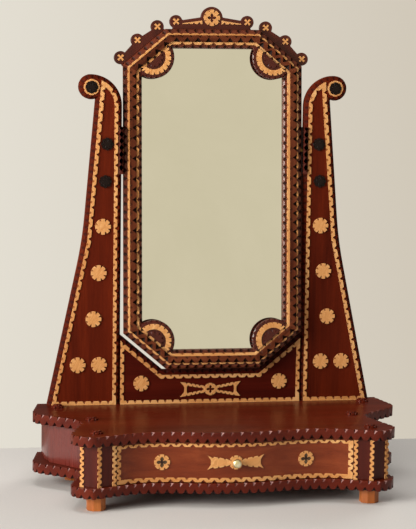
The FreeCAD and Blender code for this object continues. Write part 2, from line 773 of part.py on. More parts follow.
# Pivots: carved blocks fill the swing gap, steel pins stand in the uprights, brass bushes turn on them.
block_face = "(upright_gap - swing_gap + swing_play)"
block_loop = straight([
    (block_face, minus("block_lip_thick")), ("upright_gap + block_lip", minus("block_lip_thick")),
    ("upright_gap + block_lip", "0"), ("upright_gap", "0"),
    ("upright_gap", "upright_thick"), (block_face, "upright_thick")])
pins = []
bushes = []
for side, across in (("left", True), ("right", False)):
    block = flat_piece(side + "_pivot_block", [flipped(block_loop, across)], "block_height")
    drill(block, "YZ_Plane", minus(block_face) if across else block_face,
          [("pivot_depth", "block_height / 2")], "pin_radius + pin_play", "swing_gap", not across)
    on_stand(block, "%s - block_height / 2" % PIVOT_LEVEL)

    pin = doc.addObject("Part::Cylinder", side + "_pin")
    pin.Placement = FreeCAD.Placement(FreeCAD.Vector(), FreeCAD.Rotation(FreeCAD.Vector(0, 1, 0), 90))
    bind(pin, "Radius", "pin_radius")
    bind(pin, "Height", "pin_in_upright + swing_gap + pin_in_stile")
    start = "upright_gap - swing_gap - pin_in_stile"
    seat(pin, minus("upright_gap + pin_in_upright") if across else start,
         "%s + pivot_depth" % STAND_PLANE, PIVOT_LEVEL)
    pins.append(pin)

    bush = new_body(side + "_bush")
    bush_sketch = new_sketch(bush, "YZ_Plane", minus(MIRROR_HALF) if across else MIRROR_HALF)
    add_circle(bush_sketch, "0", "0", "bush_radius")
    add_circle(bush_sketch, "0", "0", "pin_radius + pin_play")
    add_pad(bush, bush_sketch, "bush_length", backwards=not across)
    bushes.append(on_mirror(bush))
gather("pivot_pins", pins)
gather("pivot_bushes", bushes)


def octagon(inset):
    """The mirror's eight corners, drawn in square to every side by an inset, from the lower right up."""
    side = "%s - (%s)" % (MIRROR_HALF, inset)
    shoulder = "%s - chamfer_run - (%s) * %s" % (MIRROR_HALF, inset, TURN_TOP)
    up_side, down_side = [
        "%s - chamfer_rise - (%s) * %s" % (reach, inset, TURN_SIDE) for reach in ("mirror_up", "mirror_down")]
    up_top, down_top = ["%s - (%s)" % (reach, inset) for reach in ("mirror_up", "mirror_down")]
    return [
        (side, minus(down_side)), (side, up_side), (shoulder, up_top), (minus(shoulder), up_top),
        (minus(side), up_side), (minus(side), minus(down_side)),
        (minus(shoulder), minus(down_top)), (shoulder, minus(down_top)),
    ]


RAILS = ("right_stile", "upper_right_rail", "top_rail", "upper_left_rail",
         "left_stile", "lower_left_rail", "bottom_rail", "lower_right_rail")


def mitred(outer, inner, index):
    """One side of the eight-sided frame, with mitred ends, between two insets."""
    after = (index + 1) % len(RAILS)
    out = octagon(outer)
    within = octagon(inner)
    return straight([out[index], out[after], within[after], within[index]])


# Mirror frame: eight rails with a rebate at the back, a light layer and a dark ridge on their face.
for index, name in enumerate(RAILS):
    rail = front_piece(name, [mitred("0", "rail_width", index)], "rail_thick", minus("rail_front"))
    rebate = new_sketch(rail, "XZ_Plane", "rail_front - rail_thick")
    add_loop(rebate, mitred("rail_width - rebate_width", "rail_width", index))
    add_cut(rail, rebate, "rebate_depth", True)
    if name.endswith("stile"):
        leftward = name.startswith("left")
        drill(rail, "YZ_Plane", minus(MIRROR_HALF) if leftward else MIRROR_HALF, [("0", "0")],
              "bush_radius + hole_play", "bush_length + hole_play", leftward)
    on_mirror(rail)


def layer(label, outer, inner, thick, front):
    """Eight mitred strips round the frame, as one node."""
    strips = []
    for index in range(len(RAILS)):
        strip = front_piece("%s_%d" % (label, index), [mitred(outer, inner, index)], thick, front)
        strips.append(on_mirror(strip))
    gather(label, strips)


layer("light_layer", "layer_margin", "rail_width - layer_inset", "layer_thick",
      minus("rail_front + layer_thick"))
layer("ridge_layer", "ridge_margin", "rail_width - ridge_inset", "ridge_thick",
      minus("rail_front + layer_thick + ridge_thick"))

glass_loop = straight(octagon(GLASS_EDGE))
backing_front = "%s + glass_thick" % REBATE_FRONT
on_mirror(front_piece("mirror_glass", [glass_loop], "glass_thick", REBATE_FRONT))
on_mirror(front_piece("backing_board", [glass_loop], "backing_thick", backing_front))
layer("backing_fillets", "rail_width - rebate_width", "rail_width - rebate_width + fillet_width",
      "rebate_depth - glass_thick - backing_thick", "%s + backing_thick" % backing_front)


def along_chamfer(run, out):
    """A point run along the upper right slant from its middle, and out from its outer edge."""
    return (
        "%s - chamfer_run / 2 - (%s) * chamfer_run / %s + (%s) * chamfer_rise / %s" % (
            MIRROR_HALF, run, CHAMFER, out, CHAMFER),
        "mirror_up - chamfer_rise / 2 + (%s) * chamfer_rise / %s + (%s) * chamfer_run / %s" % (
            run, CHAMFER, out, CHAMFER),
    )


def on_chamfer(points):
    return [along_chamfer(run, out) + (bend,) for run, out, bend in points]


# Corner ornaments: a half disc on the inner side of each slant, with a light ring segment on it.
fan_edge = "(rail_width - layer_inset)"
fan_rise = "(%s - fan_centre)" % fan_edge


def half_width(radius, rise):
    return "sqrt(%s ^ 2 - %s ^ 2)" % (radius, rise)


fan_chord = "(%s / 2 - %s * %s - fan_play)" % (CHAMFER, fan_edge, TURN_SIDE)
fan_wide = half_width("fan_radius", "(%s + fan_shoulder)" % fan_rise)
fan_shoulder = minus("(%s + fan_shoulder)" % fan_edge)
fan_loop = on_chamfer([
    (fan_chord, minus(fan_edge), None), (fan_wide, fan_shoulder, "fan_radius"),
    (minus(fan_wide), fan_shoulder, None), (minus(fan_chord), minus(fan_edge), None)])
ring_outer = half_width("fan_ring_outer", fan_rise)
ring_inner = half_width("fan_ring_inner", fan_rise)
fan_ring_loop = on_chamfer([
    (ring_outer, minus(fan_edge), "fan_ring_outer"), (minus(ring_outer), minus(fan_edge), None),
    (minus(ring_inner), minus(fan_edge), minus("fan_ring_inner")), (ring_inner, minus(fan_edge), None)])


corner_turns = [(across, over) for over in (False, True) for across in (False, True)]
lower_shift = "(mirror_down - mirror_up)"


def at_corner(loop, across, over):
    """Turns a loop drawn at the upper right slant to any of the four slants."""
    if over:
        loop = [(x, "%s + %s" % (y, lower_shift), bend) for x, y, bend in loop]
    return flipped(loop, across, over)


fans = []
fan_rings = []
fan_front = minus("rail_front + fan_thick")
for index, (across, over) in enumerate(corner_turns):
    fans.append(on_mirror(front_piece(
        "fan_%d" % index, [at_corner(fan_loop, across, over)], "fan_thick", fan_front)))
    fan_rings.append(on_mirror(front_piece(
        "fan_ring_%d" % index, [at_corner(fan_ring_loop, across, over)],
        "inlay_proud", "%s - inlay_proud" % fan_front)))
gather("corner_fans", fans)
gather("fan_rings", fan_rings)


crest_front = "(rail_thick - rail_front - crest_thick)"


def crest(label, loop, lobes):
    """A crest board on the frame's outer edge, flush with its back, with round lobes along its upper edge."""
    board = front_piece(label, [loop], "crest_thick", crest_front)
    for lobe in lobes:
        lobe_sketch = new_sketch(board, "XZ_Plane", minus(crest_front))
        add_circle(lobe_sketch, *lobe)
        add_pad(board, lobe_sketch, "crest_thick", backwards=True)
    on_mirror(board)


gable_half = [
    ("gable_half", "mirror_up", None),
    ("gable_half - gable_taper", "mirror_up + gable_edge", None),
]
gable_loop = gable_half + [("0", "mirror_up + gable_peak", None)] + mirrored(gable_half)
gable_lobe_level = "mirror_up + gable_lobe_height"
gable_lobes = [
    ("gable_lobe_spread", gable_lobe_level), (minus("gable_lobe_spread"), gable_lobe_level),
    ("0", "mirror_up + disc_height")]
crest("crest_top", gable_loop, [
    spot + (("crest_lobe_radius" if spot[0] != "0" else "disc_radius"),) for spot in gable_lobes])

slant_end = "(%s / 2)" % CHAMFER
slant_brow = "(%s - slant_taper)" % slant_end
slant_loop = on_chamfer(straight([
    (minus(slant_end), "0"), (minus(slant_brow), "slant_edge"), ("0", "slant_peak"),
    (slant_brow, "slant_edge"), (slant_end, "0")]))
slant_spots = [
    along_chamfer(minus("slant_lobe_spread"), "slant_lobe_height"), along_chamfer("0", "slant_mid_height"),
    along_chamfer("slant_lobe_spread", "slant_lobe_height")]
slant_lobes = [spot + ("crest_lobe_radius",) for spot in slant_spots]
crest("crest_right", slant_loop, slant_lobes)
crest("crest_left", flipped(slant_loop, True), [(minus(x), y, radius) for x, y, radius in slant_lobes])

lean = FreeCAD.Rotation(FreeCAD.Vector(-1, 0, 0), num("mirror_tilt"))
mirror_place = FreeCAD.Placement(
    FreeCAD.Vector(0, num("%s + pivot_depth" % STAND_PLANE), num(PIVOT_LEVEL)), lean)
small_rosette = notched_disc("crest_rosette_radius", "inlay_proud", 4, "crest")
disc_rosette = notched_disc("disc_rosette_radius", "inlay_proud", 8, "rosette", "disc_cross")
crest_rosettes = [placed(disc_rosette, 0, num(crest_front), num(gable_lobes[2][1]), mirror_place)]
for x, z in gable_lobes[:1] + slant_spots:
    crest_rosettes += [
        placed(small_rosette, side * num(x), num(crest_front), num(z), mirror_place) for side in (-1, 1)]
copies("crest_rosettes", crest_rosettes)


def serpentine(shift):
    """The drawer's front line, from its left end to its right, shifted by a depth."""
    steep = "(apex_rise - flare_rise) / apex_run"
    end_y = "drawer_inset - hollow_depth - flare_rise - (%s - %s) * %s" % (DRAWER_HALF, FLARE_X, steep)
    half = [
        ("bow_half", "drawer_inset - hollow_depth - swing_rise - (%s)" % shift, minus("hollow_radius")),
        ("bow_half + hollow_run", "drawer_inset - hollow_depth - (%s)" % shift, minus("flare_radius")),
        (FLARE_X, "drawer_inset - hollow_depth - flare_rise - (%s)" % shift, None),
        (DRAWER_HALF, "%s - (%s)" % (end_y, shift), None),
    ]
    return mirrored(half, "bow_radius") + half


def returned(path):
    """An open path walked back from its far end."""
    bends = [None] + [bend for _, _, bend in path[:-1]]
    flip = [bend if bend is None else minus(bend) for bend in bends]
    return [(x, y, bend) for (x, y, _), bend in zip(reversed(path), reversed(flip))]


# Drawer: a shaped front from solid wood, a plain box behind it, and ornaments that follow the front's curve.
front_bottom = "(%s + drawer_gap)" % BASE_TOP
front_height = "(case_height - 2 * drawer_gap)"
drawer_loop = serpentine("0") + straight([
    (DRAWER_HALF, DRAWER_BACK_FACE), (minus(DRAWER_HALF), DRAWER_BACK_FACE)])
drawer_front = flat_piece("drawer_front", [drawer_loop], front_height)
drill(drawer_front, "XZ_Plane", minus(DRAWER_NOSE), [("0", "%s / 2" % front_height)],
      "stud_radius + hole_play", "stud_length + hole_play", False)
on_stand(drawer_front, front_bottom)

side_back = "(%s + drawer_length)" % DRAWER_BACK_FACE
side_loop = straight([
    (DRAWER_INNER_X, DRAWER_BACK_FACE), (DRAWER_SIDE_X, DRAWER_BACK_FACE),
    (DRAWER_SIDE_X, side_back), (DRAWER_INNER_X, side_back)])
for side, across in (("left", True), ("right", False)):
    wall = flat_piece("drawer_%s_side" % side, [flipped(side_loop, across)], "drawer_side_height")
    on_stand(wall, DRAWER_FLOOR)


def rectangle(half, near, far):
    return straight([(minus(half), near), (half, near), (half, far), (minus(half), far)])


def drawer_slab(label, front, back, thick):
    """A board between the drawer's sides."""
    on_stand(flat_piece(label, [rectangle(DRAWER_INNER_X, front, back)], thick), DRAWER_FLOOR)


back_inner = "(%s - drawer_back_thick)" % side_back
drawer_slab("drawer_back", back_inner, side_back, "drawer_side_height")
drawer_slab("drawer_bottom", DRAWER_BACK_FACE, back_inner, "drawer_bottom_thick")

skin = flat_piece("drawer_skin", [serpentine("inlay_proud") + returned(serpentine("0"))], front_height)
on_stand(skin, front_bottom)


def on_drawer(label, silhouette):
    """An ornament of even thickness on the curved drawer front, cut to a silhouette."""
    ornament = doc.addObject("Part::Common", label)
    ornament.Base = skin
    ornament.Tool = on_stand(silhouette, front_bottom)


frame_inner = rectangle("%s - inlay_width" % DRAWER_HALF, "inlay_width", "%s - inlay_width" % front_height)
on_drawer("drawer_inlay", front_piece(
    "drawer_inlay_frame", [rectangle(DRAWER_HALF, "0", front_height), frame_inner],
    APEX_DEPTH, minus(APEX_DEPTH)))

middle = "%s / 2" % front_height
plate = front_piece("drawer_bow_plate", [bow_tie(middle, "drawer_bow")], APEX_DEPTH, minus(APEX_DEPTH))
plate_eye = new_sketch(plate, "XZ_Plane", APEX_DEPTH)
add_circle(plate_eye, "0", middle, "drawer_bow_eye")
add_pad(plate, plate_eye, APEX_DEPTH, backwards=True)
drill(plate, "XZ_Plane", APEX_DEPTH, [("0", middle)], "stud_radius + hole_play", APEX_DEPTH, False)
on_drawer("drawer_bow", plate)

doc.recompute()
cross_rosette = notched_disc("drawer_rosette_radius", APEX_DEPTH, 8, "rosette", "drawer_cross")
drawer_rosettes = []
for side in (-1, 1):
    bar = placed(cross_rosette, side * num("drawer_rosette_spread"), stand_plane, num(DRAWER_MIDDLE))
    drawer_rosettes.append(bar.common(skin.Shape))
copies("drawer_rosettes", drawer_rosettes)

knob = new_body("drawer_knob")
knob_profile = new_sketch(knob, "XY_Plane")
add_loop(knob_profile, [
    ("0", "stud_length", None), ("0", minus("knob_length"), "knob_crown"),
    ("knob_radius", minus("knob_belly"), "knob_radius"),
    ("knob_neck", minus("knob_waist"), None), ("knob_foot", minus("inlay_proud"), None),
    ("stud_radius", minus("inlay_proud"), None), ("stud_radius", "stud_length", None)])
turn = knob.newObject("PartDesign::Revolution", "drawer_knob_turn")
turn.Profile = knob_profile
turn.ReferenceAxis = (knob_profile, ["V_Axis"])
turn.Angle = 360
seat(knob, y="%s + %s" % (STAND_PLANE, DRAWER_NOSE), z=DRAWER_MIDDLE)

doc.recompute()

NODES = (
    ["base_board", "top_board", "left_front_foot", "right_front_foot", "left_rear_foot", "right_rear_foot"]
    + ["left_case_side", "right_case_side", "case_back", "left_corner_post", "right_corner_post"]
    + ["post_strips", "left_drawer_guide", "right_drawer_guide", "drawer_stops"]
    + ["left_upright", "right_upright"]
    + ["left_upright_inlay", "right_upright_inlay", "upright_rosettes", "upright_buttons", "upright_dowels"]
    + ["case_buttons", "lower_panel", "lower_panel_inlay", "lower_panel_bow", "lower_panel_rosettes"]
    + ["left_pivot_block", "right_pivot_block", "pivot_pins", "pivot_bushes"]
    + list(RAILS)
    + ["light_layer", "ridge_layer", "mirror_glass", "backing_board", "backing_fillets"]
    + ["corner_fans", "fan_rings", "crest_top", "crest_right", "crest_left", "crest_rosettes"]
    + ["drawer_front", "drawer_left_side", "drawer_right_side", "drawer_back", "drawer_bottom"]
    + ["drawer_inlay", "drawer_bow", "drawer_rosettes", "drawer_knob"]
)
for item in doc.Objects:
    if "Invalid" in item.State or "Error" in item.State:
        raise RuntimeError("%s failed: %s" % (item.Label, item.State))
shapes = {}
for node in NODES:
    shape = doc.getObjectsByLabel(node)[0].Shape
    if shape.isNull() or not shape.isValid() or not shape.Solids:
        raise RuntimeError(node + " has no sound solid")
    shapes[node] = shape
os.makedirs("parts", exist_ok=True)
for node, shape in shapes.items():
    shape.exportStep("parts/%s.step" % node)
print("%d nodes, %d solids" % (len(shapes), sum(len(shape.Solids) for shape in shapes.values())))
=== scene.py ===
import json
import math

import bmesh
import bpy
from mathutils import Matrix, Vector

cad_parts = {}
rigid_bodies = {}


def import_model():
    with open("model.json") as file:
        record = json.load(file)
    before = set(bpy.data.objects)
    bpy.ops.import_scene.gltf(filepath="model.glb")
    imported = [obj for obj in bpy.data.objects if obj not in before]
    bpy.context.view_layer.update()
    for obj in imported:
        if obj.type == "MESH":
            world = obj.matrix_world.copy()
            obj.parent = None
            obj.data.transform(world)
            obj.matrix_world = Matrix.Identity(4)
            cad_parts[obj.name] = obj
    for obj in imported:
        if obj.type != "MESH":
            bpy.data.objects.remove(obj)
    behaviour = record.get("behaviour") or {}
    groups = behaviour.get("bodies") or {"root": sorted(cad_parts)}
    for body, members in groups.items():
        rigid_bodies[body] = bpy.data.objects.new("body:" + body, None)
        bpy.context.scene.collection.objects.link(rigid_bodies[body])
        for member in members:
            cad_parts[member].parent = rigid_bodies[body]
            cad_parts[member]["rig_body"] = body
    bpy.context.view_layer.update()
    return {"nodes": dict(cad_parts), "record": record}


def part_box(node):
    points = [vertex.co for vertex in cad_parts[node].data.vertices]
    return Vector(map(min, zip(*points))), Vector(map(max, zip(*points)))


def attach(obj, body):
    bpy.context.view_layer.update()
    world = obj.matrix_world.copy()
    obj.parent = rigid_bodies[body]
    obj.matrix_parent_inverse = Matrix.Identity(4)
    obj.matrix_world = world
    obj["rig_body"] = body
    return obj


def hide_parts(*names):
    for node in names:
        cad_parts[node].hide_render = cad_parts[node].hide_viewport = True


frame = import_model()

scene = bpy.context.scene
scene.view_settings.view_transform = "Standard"
slotOf = {part["node"]: part["material_slot"] for part in frame["record"]["subparts"]}
mm = 0.001
mergeGap = 1e-6  # points nearer than this are one
sameWay = 0.999  # the least cosine between two directions that count as one
flatTurn, cornerTurn, sharpTurn = (math.radians(turn) for turn in (1, 26, 32))
right, forward, up = Vector((1, 0, 0)), Vector((0, -1, 0)), Vector((0, 0, 1))
print("frame loaded:", len(frame["nodes"]), "nodes")

# camera, found from the photograph's own lines
cameraSpec = {"spot": (-0.525, -2.807, 0.6857), "yaw": 10.15, "pitch": -7.37, "roll": 0.82,
              "focalPixels": 2077.8, "imageHeight": 529, "sensor": 36.0}


def placeCamera(spec):
    yaw, pitch, roll = (math.radians(spec[key]) for key in ("yaw", "pitch", "roll"))
    ahead = Vector((math.sin(yaw) * math.cos(pitch), math.cos(yaw) * math.cos(pitch), math.sin(pitch)))
    level = Vector((math.cos(yaw), -math.sin(yaw), 0))
    rise = level.cross(ahead)
    across = level * math.cos(roll) + rise * math.sin(roll)
    above = rise * math.cos(roll) - level * math.sin(roll)
    data = bpy.data.cameras.new("photoCamera")
    data.sensor_fit = "VERTICAL"
    data.sensor_height = spec["sensor"]
    data.lens = spec["focalPixels"] * spec["sensor"] / spec["imageHeight"]
    camera = bpy.data.objects.new("photoCamera", data)
    turn = Matrix((across, above, -ahead)).transposed()
    camera.matrix_world = Matrix.Translation(spec["spot"]) @ turn.to_4x4()
    scene.collection.objects.link(camera)
    scene.camera = camera


placeCamera(cameraSpec)
print("camera placed")


def paint(red, green, blue):  # a colour chart's 0 to 255, made linear
    shares = [channel / 255 for channel in (red, green, blue)]
    linear = [share / 12.92 if share <= 0.04045 else ((share + 0.055) / 1.055) ** 2.4 for share in shares]
    return linear + [1.0]


def addNode(tree, kind, **sockets):
    node = tree.nodes.new("ShaderNode" + kind)
    for name, value in sockets.items():
        node.inputs[name].default_value = value
    return node


def attribute(tree, name):
    node = addNode(tree, "Attribute")
    node.attribute_name = name
    return node


def stretchedNoise(tree, source, scale, detail, distortion):  # noise drawn out along the grain
    mapping = addNode(tree, "Mapping", Scale=scale)
    noise = addNode(tree, "TexNoise", Scale=1.0, Detail=detail, Roughness=0.6, Distortion=distortion)
    tree.links.new(source, mapping.inputs["Vector"])
    tree.links.new(mapping.outputs["Vector"], noise.inputs["Vector"])
    return noise.outputs["Fac"]


def ramp(tree, factor, stops):
    node = addNode(tree, "ValToRGB")
    while len(node.color_ramp.elements) < len(stops):
        node.color_ramp.elements.new(0.5)
    for element, (place, colour) in zip(node.color_ramp.elements, stops):
        element.position = place
        element.color = colour
    tree.links.new(factor, node.inputs["Fac"])
    return node.outputs["Color"]


def mixIn(tree, blend, factor, first, second):
    node = addNode(tree, "Mix")
    node.data_type = "RGBA"
    node.blend_type = blend
    for socket, value in ((0, factor), (6, first), (7, second)):  # the node's factor and its two colours
        if isinstance(value, bpy.types.NodeSocket):
            tree.links.new(value, node.inputs[socket])
        else:
            node.inputs[socket].default_value = value
    return node.outputs[2]


def remap(tree, value, span, result):
    ends = dict(zip(("From Min", "From Max", "To Min", "To Max"), span + result))
    node = addNode(tree, "MapRange", **ends)
    tree.links.new(value, node.inputs["Value"])
    return node.outputs["Result"]


def newFinish(name):
    finish = bpy.data.materials.new(name)
    finish.use_nodes = True
    return finish, finish.node_tree, finish.node_tree.nodes["Principled BSDF"]


def roughen(tree, shader, noise, look, reach):  # gloss and bump from one noise
    tree.links.new(remap(tree, noise, (0.3, 0.7), look["gloss"]), shader.inputs["Roughness"])
    bump = addNode(tree, "Bump", Strength=look["bump"], Distance=reach)
    tree.links.new(noise, bump.inputs["Height"])
    tree.links.new(bump.outputs["Normal"], shader.inputs["Normal"])


# what all woods share; the spans are values of recess, which carries the painted shade in chips, the painted
# glints and the painted shade under pierced rosettes, and of pointiness for worn edges
grainSpec = {
    "bandPlaces": (0.3, 0.5, 0.7), "fibreRun": 16.0, "poreScale": (90.0, 2600.0, 2600.0),
    "fibreShade": [(0.32, (0.62, 0.56, 0.52, 1)), (0.62, (1, 1, 1, 1))],
    "poreShade": [(0.36, (0.55, 0.5, 0.48, 1)), (0.46, (1, 1, 1, 1))],
    "cutSpan": (0.15, 1.0), "bareSpan": (-1.0, -0.3), "paintedGlintShare": 0.8, "pitSpan": (1.2, 2.0),
    "varnishSpan": (0.0, 0.15), "wornSpan": (0.52, 0.62), "bumpReach": 0.3 * mm,
}


def woodFinish(name, look):
    finish, tree, shader = newFinish(name)
    if look.get("noGrain"):  # a CAD node shown as it is carries no grain of its own
        source = addNode(tree, "TexCoord").outputs["Object"]
    else:
        source = attribute(tree, "grain").outputs["Vector"]
    across = look["bands"]
    bands = stretchedNoise(tree, source, (across * look["run"], across, across), 5.0, look["wander"])
    fibres = stretchedNoise(tree, source, (grainSpec["fibreRun"], look["fibres"], look["fibres"]), 6.0, 0.3)
    pores = stretchedNoise(tree, source, grainSpec["poreScale"], 2.0, 0.0)
    tones = [paint(*tone) for tone in look["tones"]]
    colour = ramp(tree, bands, list(zip(grainSpec["bandPlaces"], tones)))
    for noise, kind in ((fibres, "fibre"), (pores, "pore")):
        shade = ramp(tree, noise, grainSpec[kind + "Shade"])
        colour = mixIn(tree, "MULTIPLY", look[kind + "Depth"], colour, shade)
    recess = attribute(tree, "recess").outputs["Fac"]
    edge = addNode(tree, "NewGeometry").outputs["Pointiness"]
    # painted shade in the chips, partly grime; painted glints; painted shade under pierced rosettes; then worn
    # edges
    covers = {"cut": (recess, (0.0, look["cutDepth"])),
              "bare": (recess, (grainSpec["paintedGlintShare"], 0.0)),  # painted highlight: glints on the varnished facets
              "pit": (recess, (0.0, 1.0)),  # painted shade on the sheet under a pierced rosette
              "worn": (edge, (0.0, look["wear"]))}
    for tone, (source, shares) in covers.items():
        if tone in look:
            cover = remap(tree, source, grainSpec[tone + "Span"], shares)
            colour = mixIn(tree, "MIX", cover, colour, paint(*look[tone]))
    tree.links.new(colour, shader.inputs["Base Color"])
    roughen(tree, shader, fibres, look, grainSpec["bumpReach"])
    shader.inputs["Specular IOR Level"].default_value = look["specular"]
    shader.inputs["Coat Weight"].default_value = look["coat"]
    shader.inputs["Coat Roughness"].default_value = look["coatRough"]
    if look.get("dryCuts"):  # varnish on the faces and walls, none in the chips
        varnish = remap(tree, recess, grainSpec["varnishSpan"], (look["coat"], 0.0))
        tree.links.new(varnish, shader.inputs["Coat Weight"])
    return finish


# each look gives a colour and depth for the painted shade in its chips; the board also gives one for painted
# glints, the light wood one for the painted shade under pierced rosettes
woodBase = {"run": 0.08, "wander": 0.5, "fibres": 460.0, "fibreDepth": 0.4, "poreDepth": 0.3, "cutDepth": 0.5,
            "wear": 0.04, "bump": 0.2, "coat": 0.0, "coatRough": 0.24}  # where a look says nothing else
woodLooks = {
    "panelWood": {"tones": [(69, 18, 5), (91, 27, 8), (110, 37, 12)], "bands": 26.0, "wander": 0.6,
                  "fibres": 420.0, "fibreDepth": 0.5, "poreDepth": 0.35, "cut": (34, 9, 6), "cutDepth": 0.8,
                  "worn": (140, 62, 42), "gloss": (0.5, 0.64), "bump": 0.25, "specular": 0.06},
    "deepWood": {"tones": [(49, 7, 3), (66, 12, 4), (82, 20, 8)], "bands": 26.0, "wander": 0.6,
                 "fibres": 420.0, "fibreDepth": 0.5, "poreDepth": 0.35, "cut": (30, 8, 6), "cutDepth": 0.8,
                 "worn": (120, 48, 32), "gloss": (0.44, 0.58), "bump": 0.25, "specular": 0.06},
    "boardWood": {"tones": [(75, 19, 8), (91, 27, 11), (105, 36, 16)], "bands": 30.0, "run": 0.07,
                  "fibreDepth": 0.35, "poreDepth": 0.25, "cut": (24, 8, 7), "cutDepth": 0.9,
                  "bare": (178, 136, 130), "wear": 0.05, "worn": (150, 84, 66), "gloss": (0.26, 0.38),
                  "bump": 0.08, "coat": 0.03, "coatRough": 0.16, "specular": 0.16},
    "drawerWood": {"tones": [(98, 35, 12), (117, 47, 18), (132, 59, 26)], "bands": 44.0, "run": 0.12,
                   "wander": 1.0, "fibres": 480.0, "cut": (60, 24, 12), "wear": 0.06, "worn": (160, 96, 60),
                   "gloss": (0.28, 0.42), "bump": 0.15, "coat": 0.12, "coatRough": 0.18, "specular": 0.2},
    "caseWood": {"tones": [(82, 25, 18), (106, 37, 29), (123, 50, 41)], "bands": 24.0, "run": 0.1,
                 "fibres": 430.0, "fibreDepth": 0.35, "cut": (60, 22, 18), "wear": 0.06,
                 "worn": (170, 104, 88), "gloss": (0.24, 0.36), "bump": 0.12, "coat": 0.4, "coatRough": 0.16,
                 "specular": 0.4},
    "postWood": {"tones": [(55, 14, 8), (71, 21, 12), (87, 29, 17)], "bands": 30.0, "cut": (30, 10, 8),
                 "wear": 0.05, "worn": (150, 92, 80), "gloss": (0.28, 0.42), "bump": 0.15, "coat": 0.05,
                 "coatRough": 0.2, "specular": 0.16},
    "railWood": {"tones": [(66, 26, 14), (92, 39, 22), (114, 53, 32)], "bands": 34.0, "fibreDepth": 0.45,
                 "cut": (18, 6, 5), "cutDepth": 0.94, "worn": (168, 92, 70), "gloss": (0.4, 0.55),
                 "coat": 0.35, "specular": 0.1, "dryCuts": True},
    "ridgeWood": {"tones": [(58, 24, 13), (92, 44, 25), (116, 60, 36)], "bands": 60.0, "run": 0.12,
                  "wander": 0.8, "fibreDepth": 0.5, "cut": (14, 6, 5), "cutDepth": 0.96,
                  "worn": (146, 86, 60), "gloss": (0.44, 0.6), "specular": 0.06},
    "crestWood": {"tones": [(56, 18, 12), (72, 25, 16), (88, 34, 22)], "bands": 34.0, "cut": (50, 16, 10),
                  "worn": (140, 66, 48), "gloss": (0.3, 0.44), "coat": 0.3, "specular": 0.14,
                  "dryCuts": True},
    "blackWood": {"tones": [(12, 6, 5), (21, 10, 8), (34, 18, 14)], "bands": 40.0, "run": 0.1,
                  "fibres": 480.0, "cut": (14, 7, 6), "cutDepth": 0.6, "wear": 0.08, "worn": (84, 50, 42),
                  "gloss": (0.2, 0.32), "coat": 0.08, "coatRough": 0.14, "specular": 0.14},
    "lightWood": {"tones": [(194, 126, 66), (215, 151, 88), (231, 177, 115)], "bands": 50.0, "run": 0.1,
                  "wander": 0.6, "fibres": 520.0, "fibreDepth": 0.35, "poreDepth": 0.25, "cut": (120, 62, 20),
                  "cutDepth": 0.95, "pit": (40, 17, 9), "wear": 0.25, "worn": (246, 212, 156),
                  "gloss": (0.38, 0.54), "bump": 0.25, "coat": 0.05, "coatRough": 0.3, "specular": 0.22},
    "footWood": {"tones": [(142, 68, 22), (174, 90, 33), (194, 112, 50)], "bands": 40.0, "run": 0.1,
                 "wander": 0.6, "fibres": 480.0, "cut": (110, 56, 24), "wear": 0.3, "worn": (222, 160, 100),
                 "gloss": (0.36, 0.5), "bump": 0.25, "coat": 0.1, "coatRough": 0.25, "specular": 0.25},
    "plainWood": {"tones": [(150, 112, 74), (178, 140, 98), (196, 160, 118)], "bands": 30.0, "wander": 0.8,
                  "fibres": 440.0, "poreDepth": 0.35, "cut": (120, 84, 52), "cutDepth": 0.4, "wear": 0.2,
                  "worn": (206, 174, 134), "gloss": (0.5, 0.68), "bump": 0.35, "specular": 0.3},
}
woodLooks["hiddenWood"] = dict(woodLooks["plainWood"], noGrain=True)
woods = {name: woodFinish(name, dict(woodBase, **look)) for name, look in woodLooks.items()}


def metalFinish(name, look):
    finish, tree, shader = newFinish(name)
    place = addNode(tree, "TexCoord").outputs["Object"]
    tarnish = stretchedNoise(tree, place, (look["blotch"],) * 3, 4.0, 0.4)
    scratch = stretchedNoise(tree, place, look["scratch"], 3.0, 0.0)
    colour = ramp(tree, tarnish, [(0.35, paint(*look["dull"])), (0.6, paint(*look["bright"]))])
    tree.links.new(colour, shader.inputs["Base Color"])
    shader.inputs["Metallic"].default_value = 1.0
    roughen(tree, shader, scratch, look, 0.1 * mm)
    return finish


metalLooks = {
    "knobBrass": {"dull": (224, 208, 152), "bright": (250, 243, 208), "blotch": 160.0,
                  "scratch": (900, 240, 900), "gloss": (0.3, 0.44), "bump": 0.15},
    "bushBrass": {"dull": (150, 116, 58), "bright": (206, 170, 96), "blotch": 200.0,
                  "scratch": (300, 900, 900), "gloss": (0.26, 0.42), "bump": 0.2},
    "pinSteel": {"dull": (120, 120, 120), "bright": (176, 176, 174), "blotch": 200.0,
                 "scratch": (300, 1200, 1200), "gloss": (0.24, 0.4), "bump": 0.2},
    "silvering": {"dull": (232, 231, 226), "bright": (236, 235, 231), "blotch": 5.0,
                  "scratch": (14, 14, 14), "gloss": (0.006, 0.02), "bump": 0.0},
}
metals = {name: metalFinish(name, look) for name, look in metalLooks.items()}
print("finishes mixed:", len(woods) + len(metals))


def mergedNode(node):  # a CAD node's loose triangles, merged at their corners
    bm = bmesh.new()
    bm.from_mesh(frame["nodes"][node].data)
    bmesh.ops.remove_doubles(bm, verts=bm.verts, dist=mergeGap)
    return bm


def layGrain(bm, along, facing):
    layer = bm.verts.layers.float_vector["grain"]
    across = along.cross(facing)
    for vert in bm.verts:
        vert[layer] = (vert.co.dot(along), vert.co.dot(across), vert.co.dot(facing))


def copyNode(node, along, facing):  # a node with its triangles joined into flat faces, and a grain
    bm = mergedNode(node)
    bmesh.ops.dissolve_limit(bm, angle_limit=flatTurn, verts=bm.verts, edges=bm.edges)
    bm.verts.layers.float_vector.new("grain")
    layGrain(bm, along, facing)
    return bm


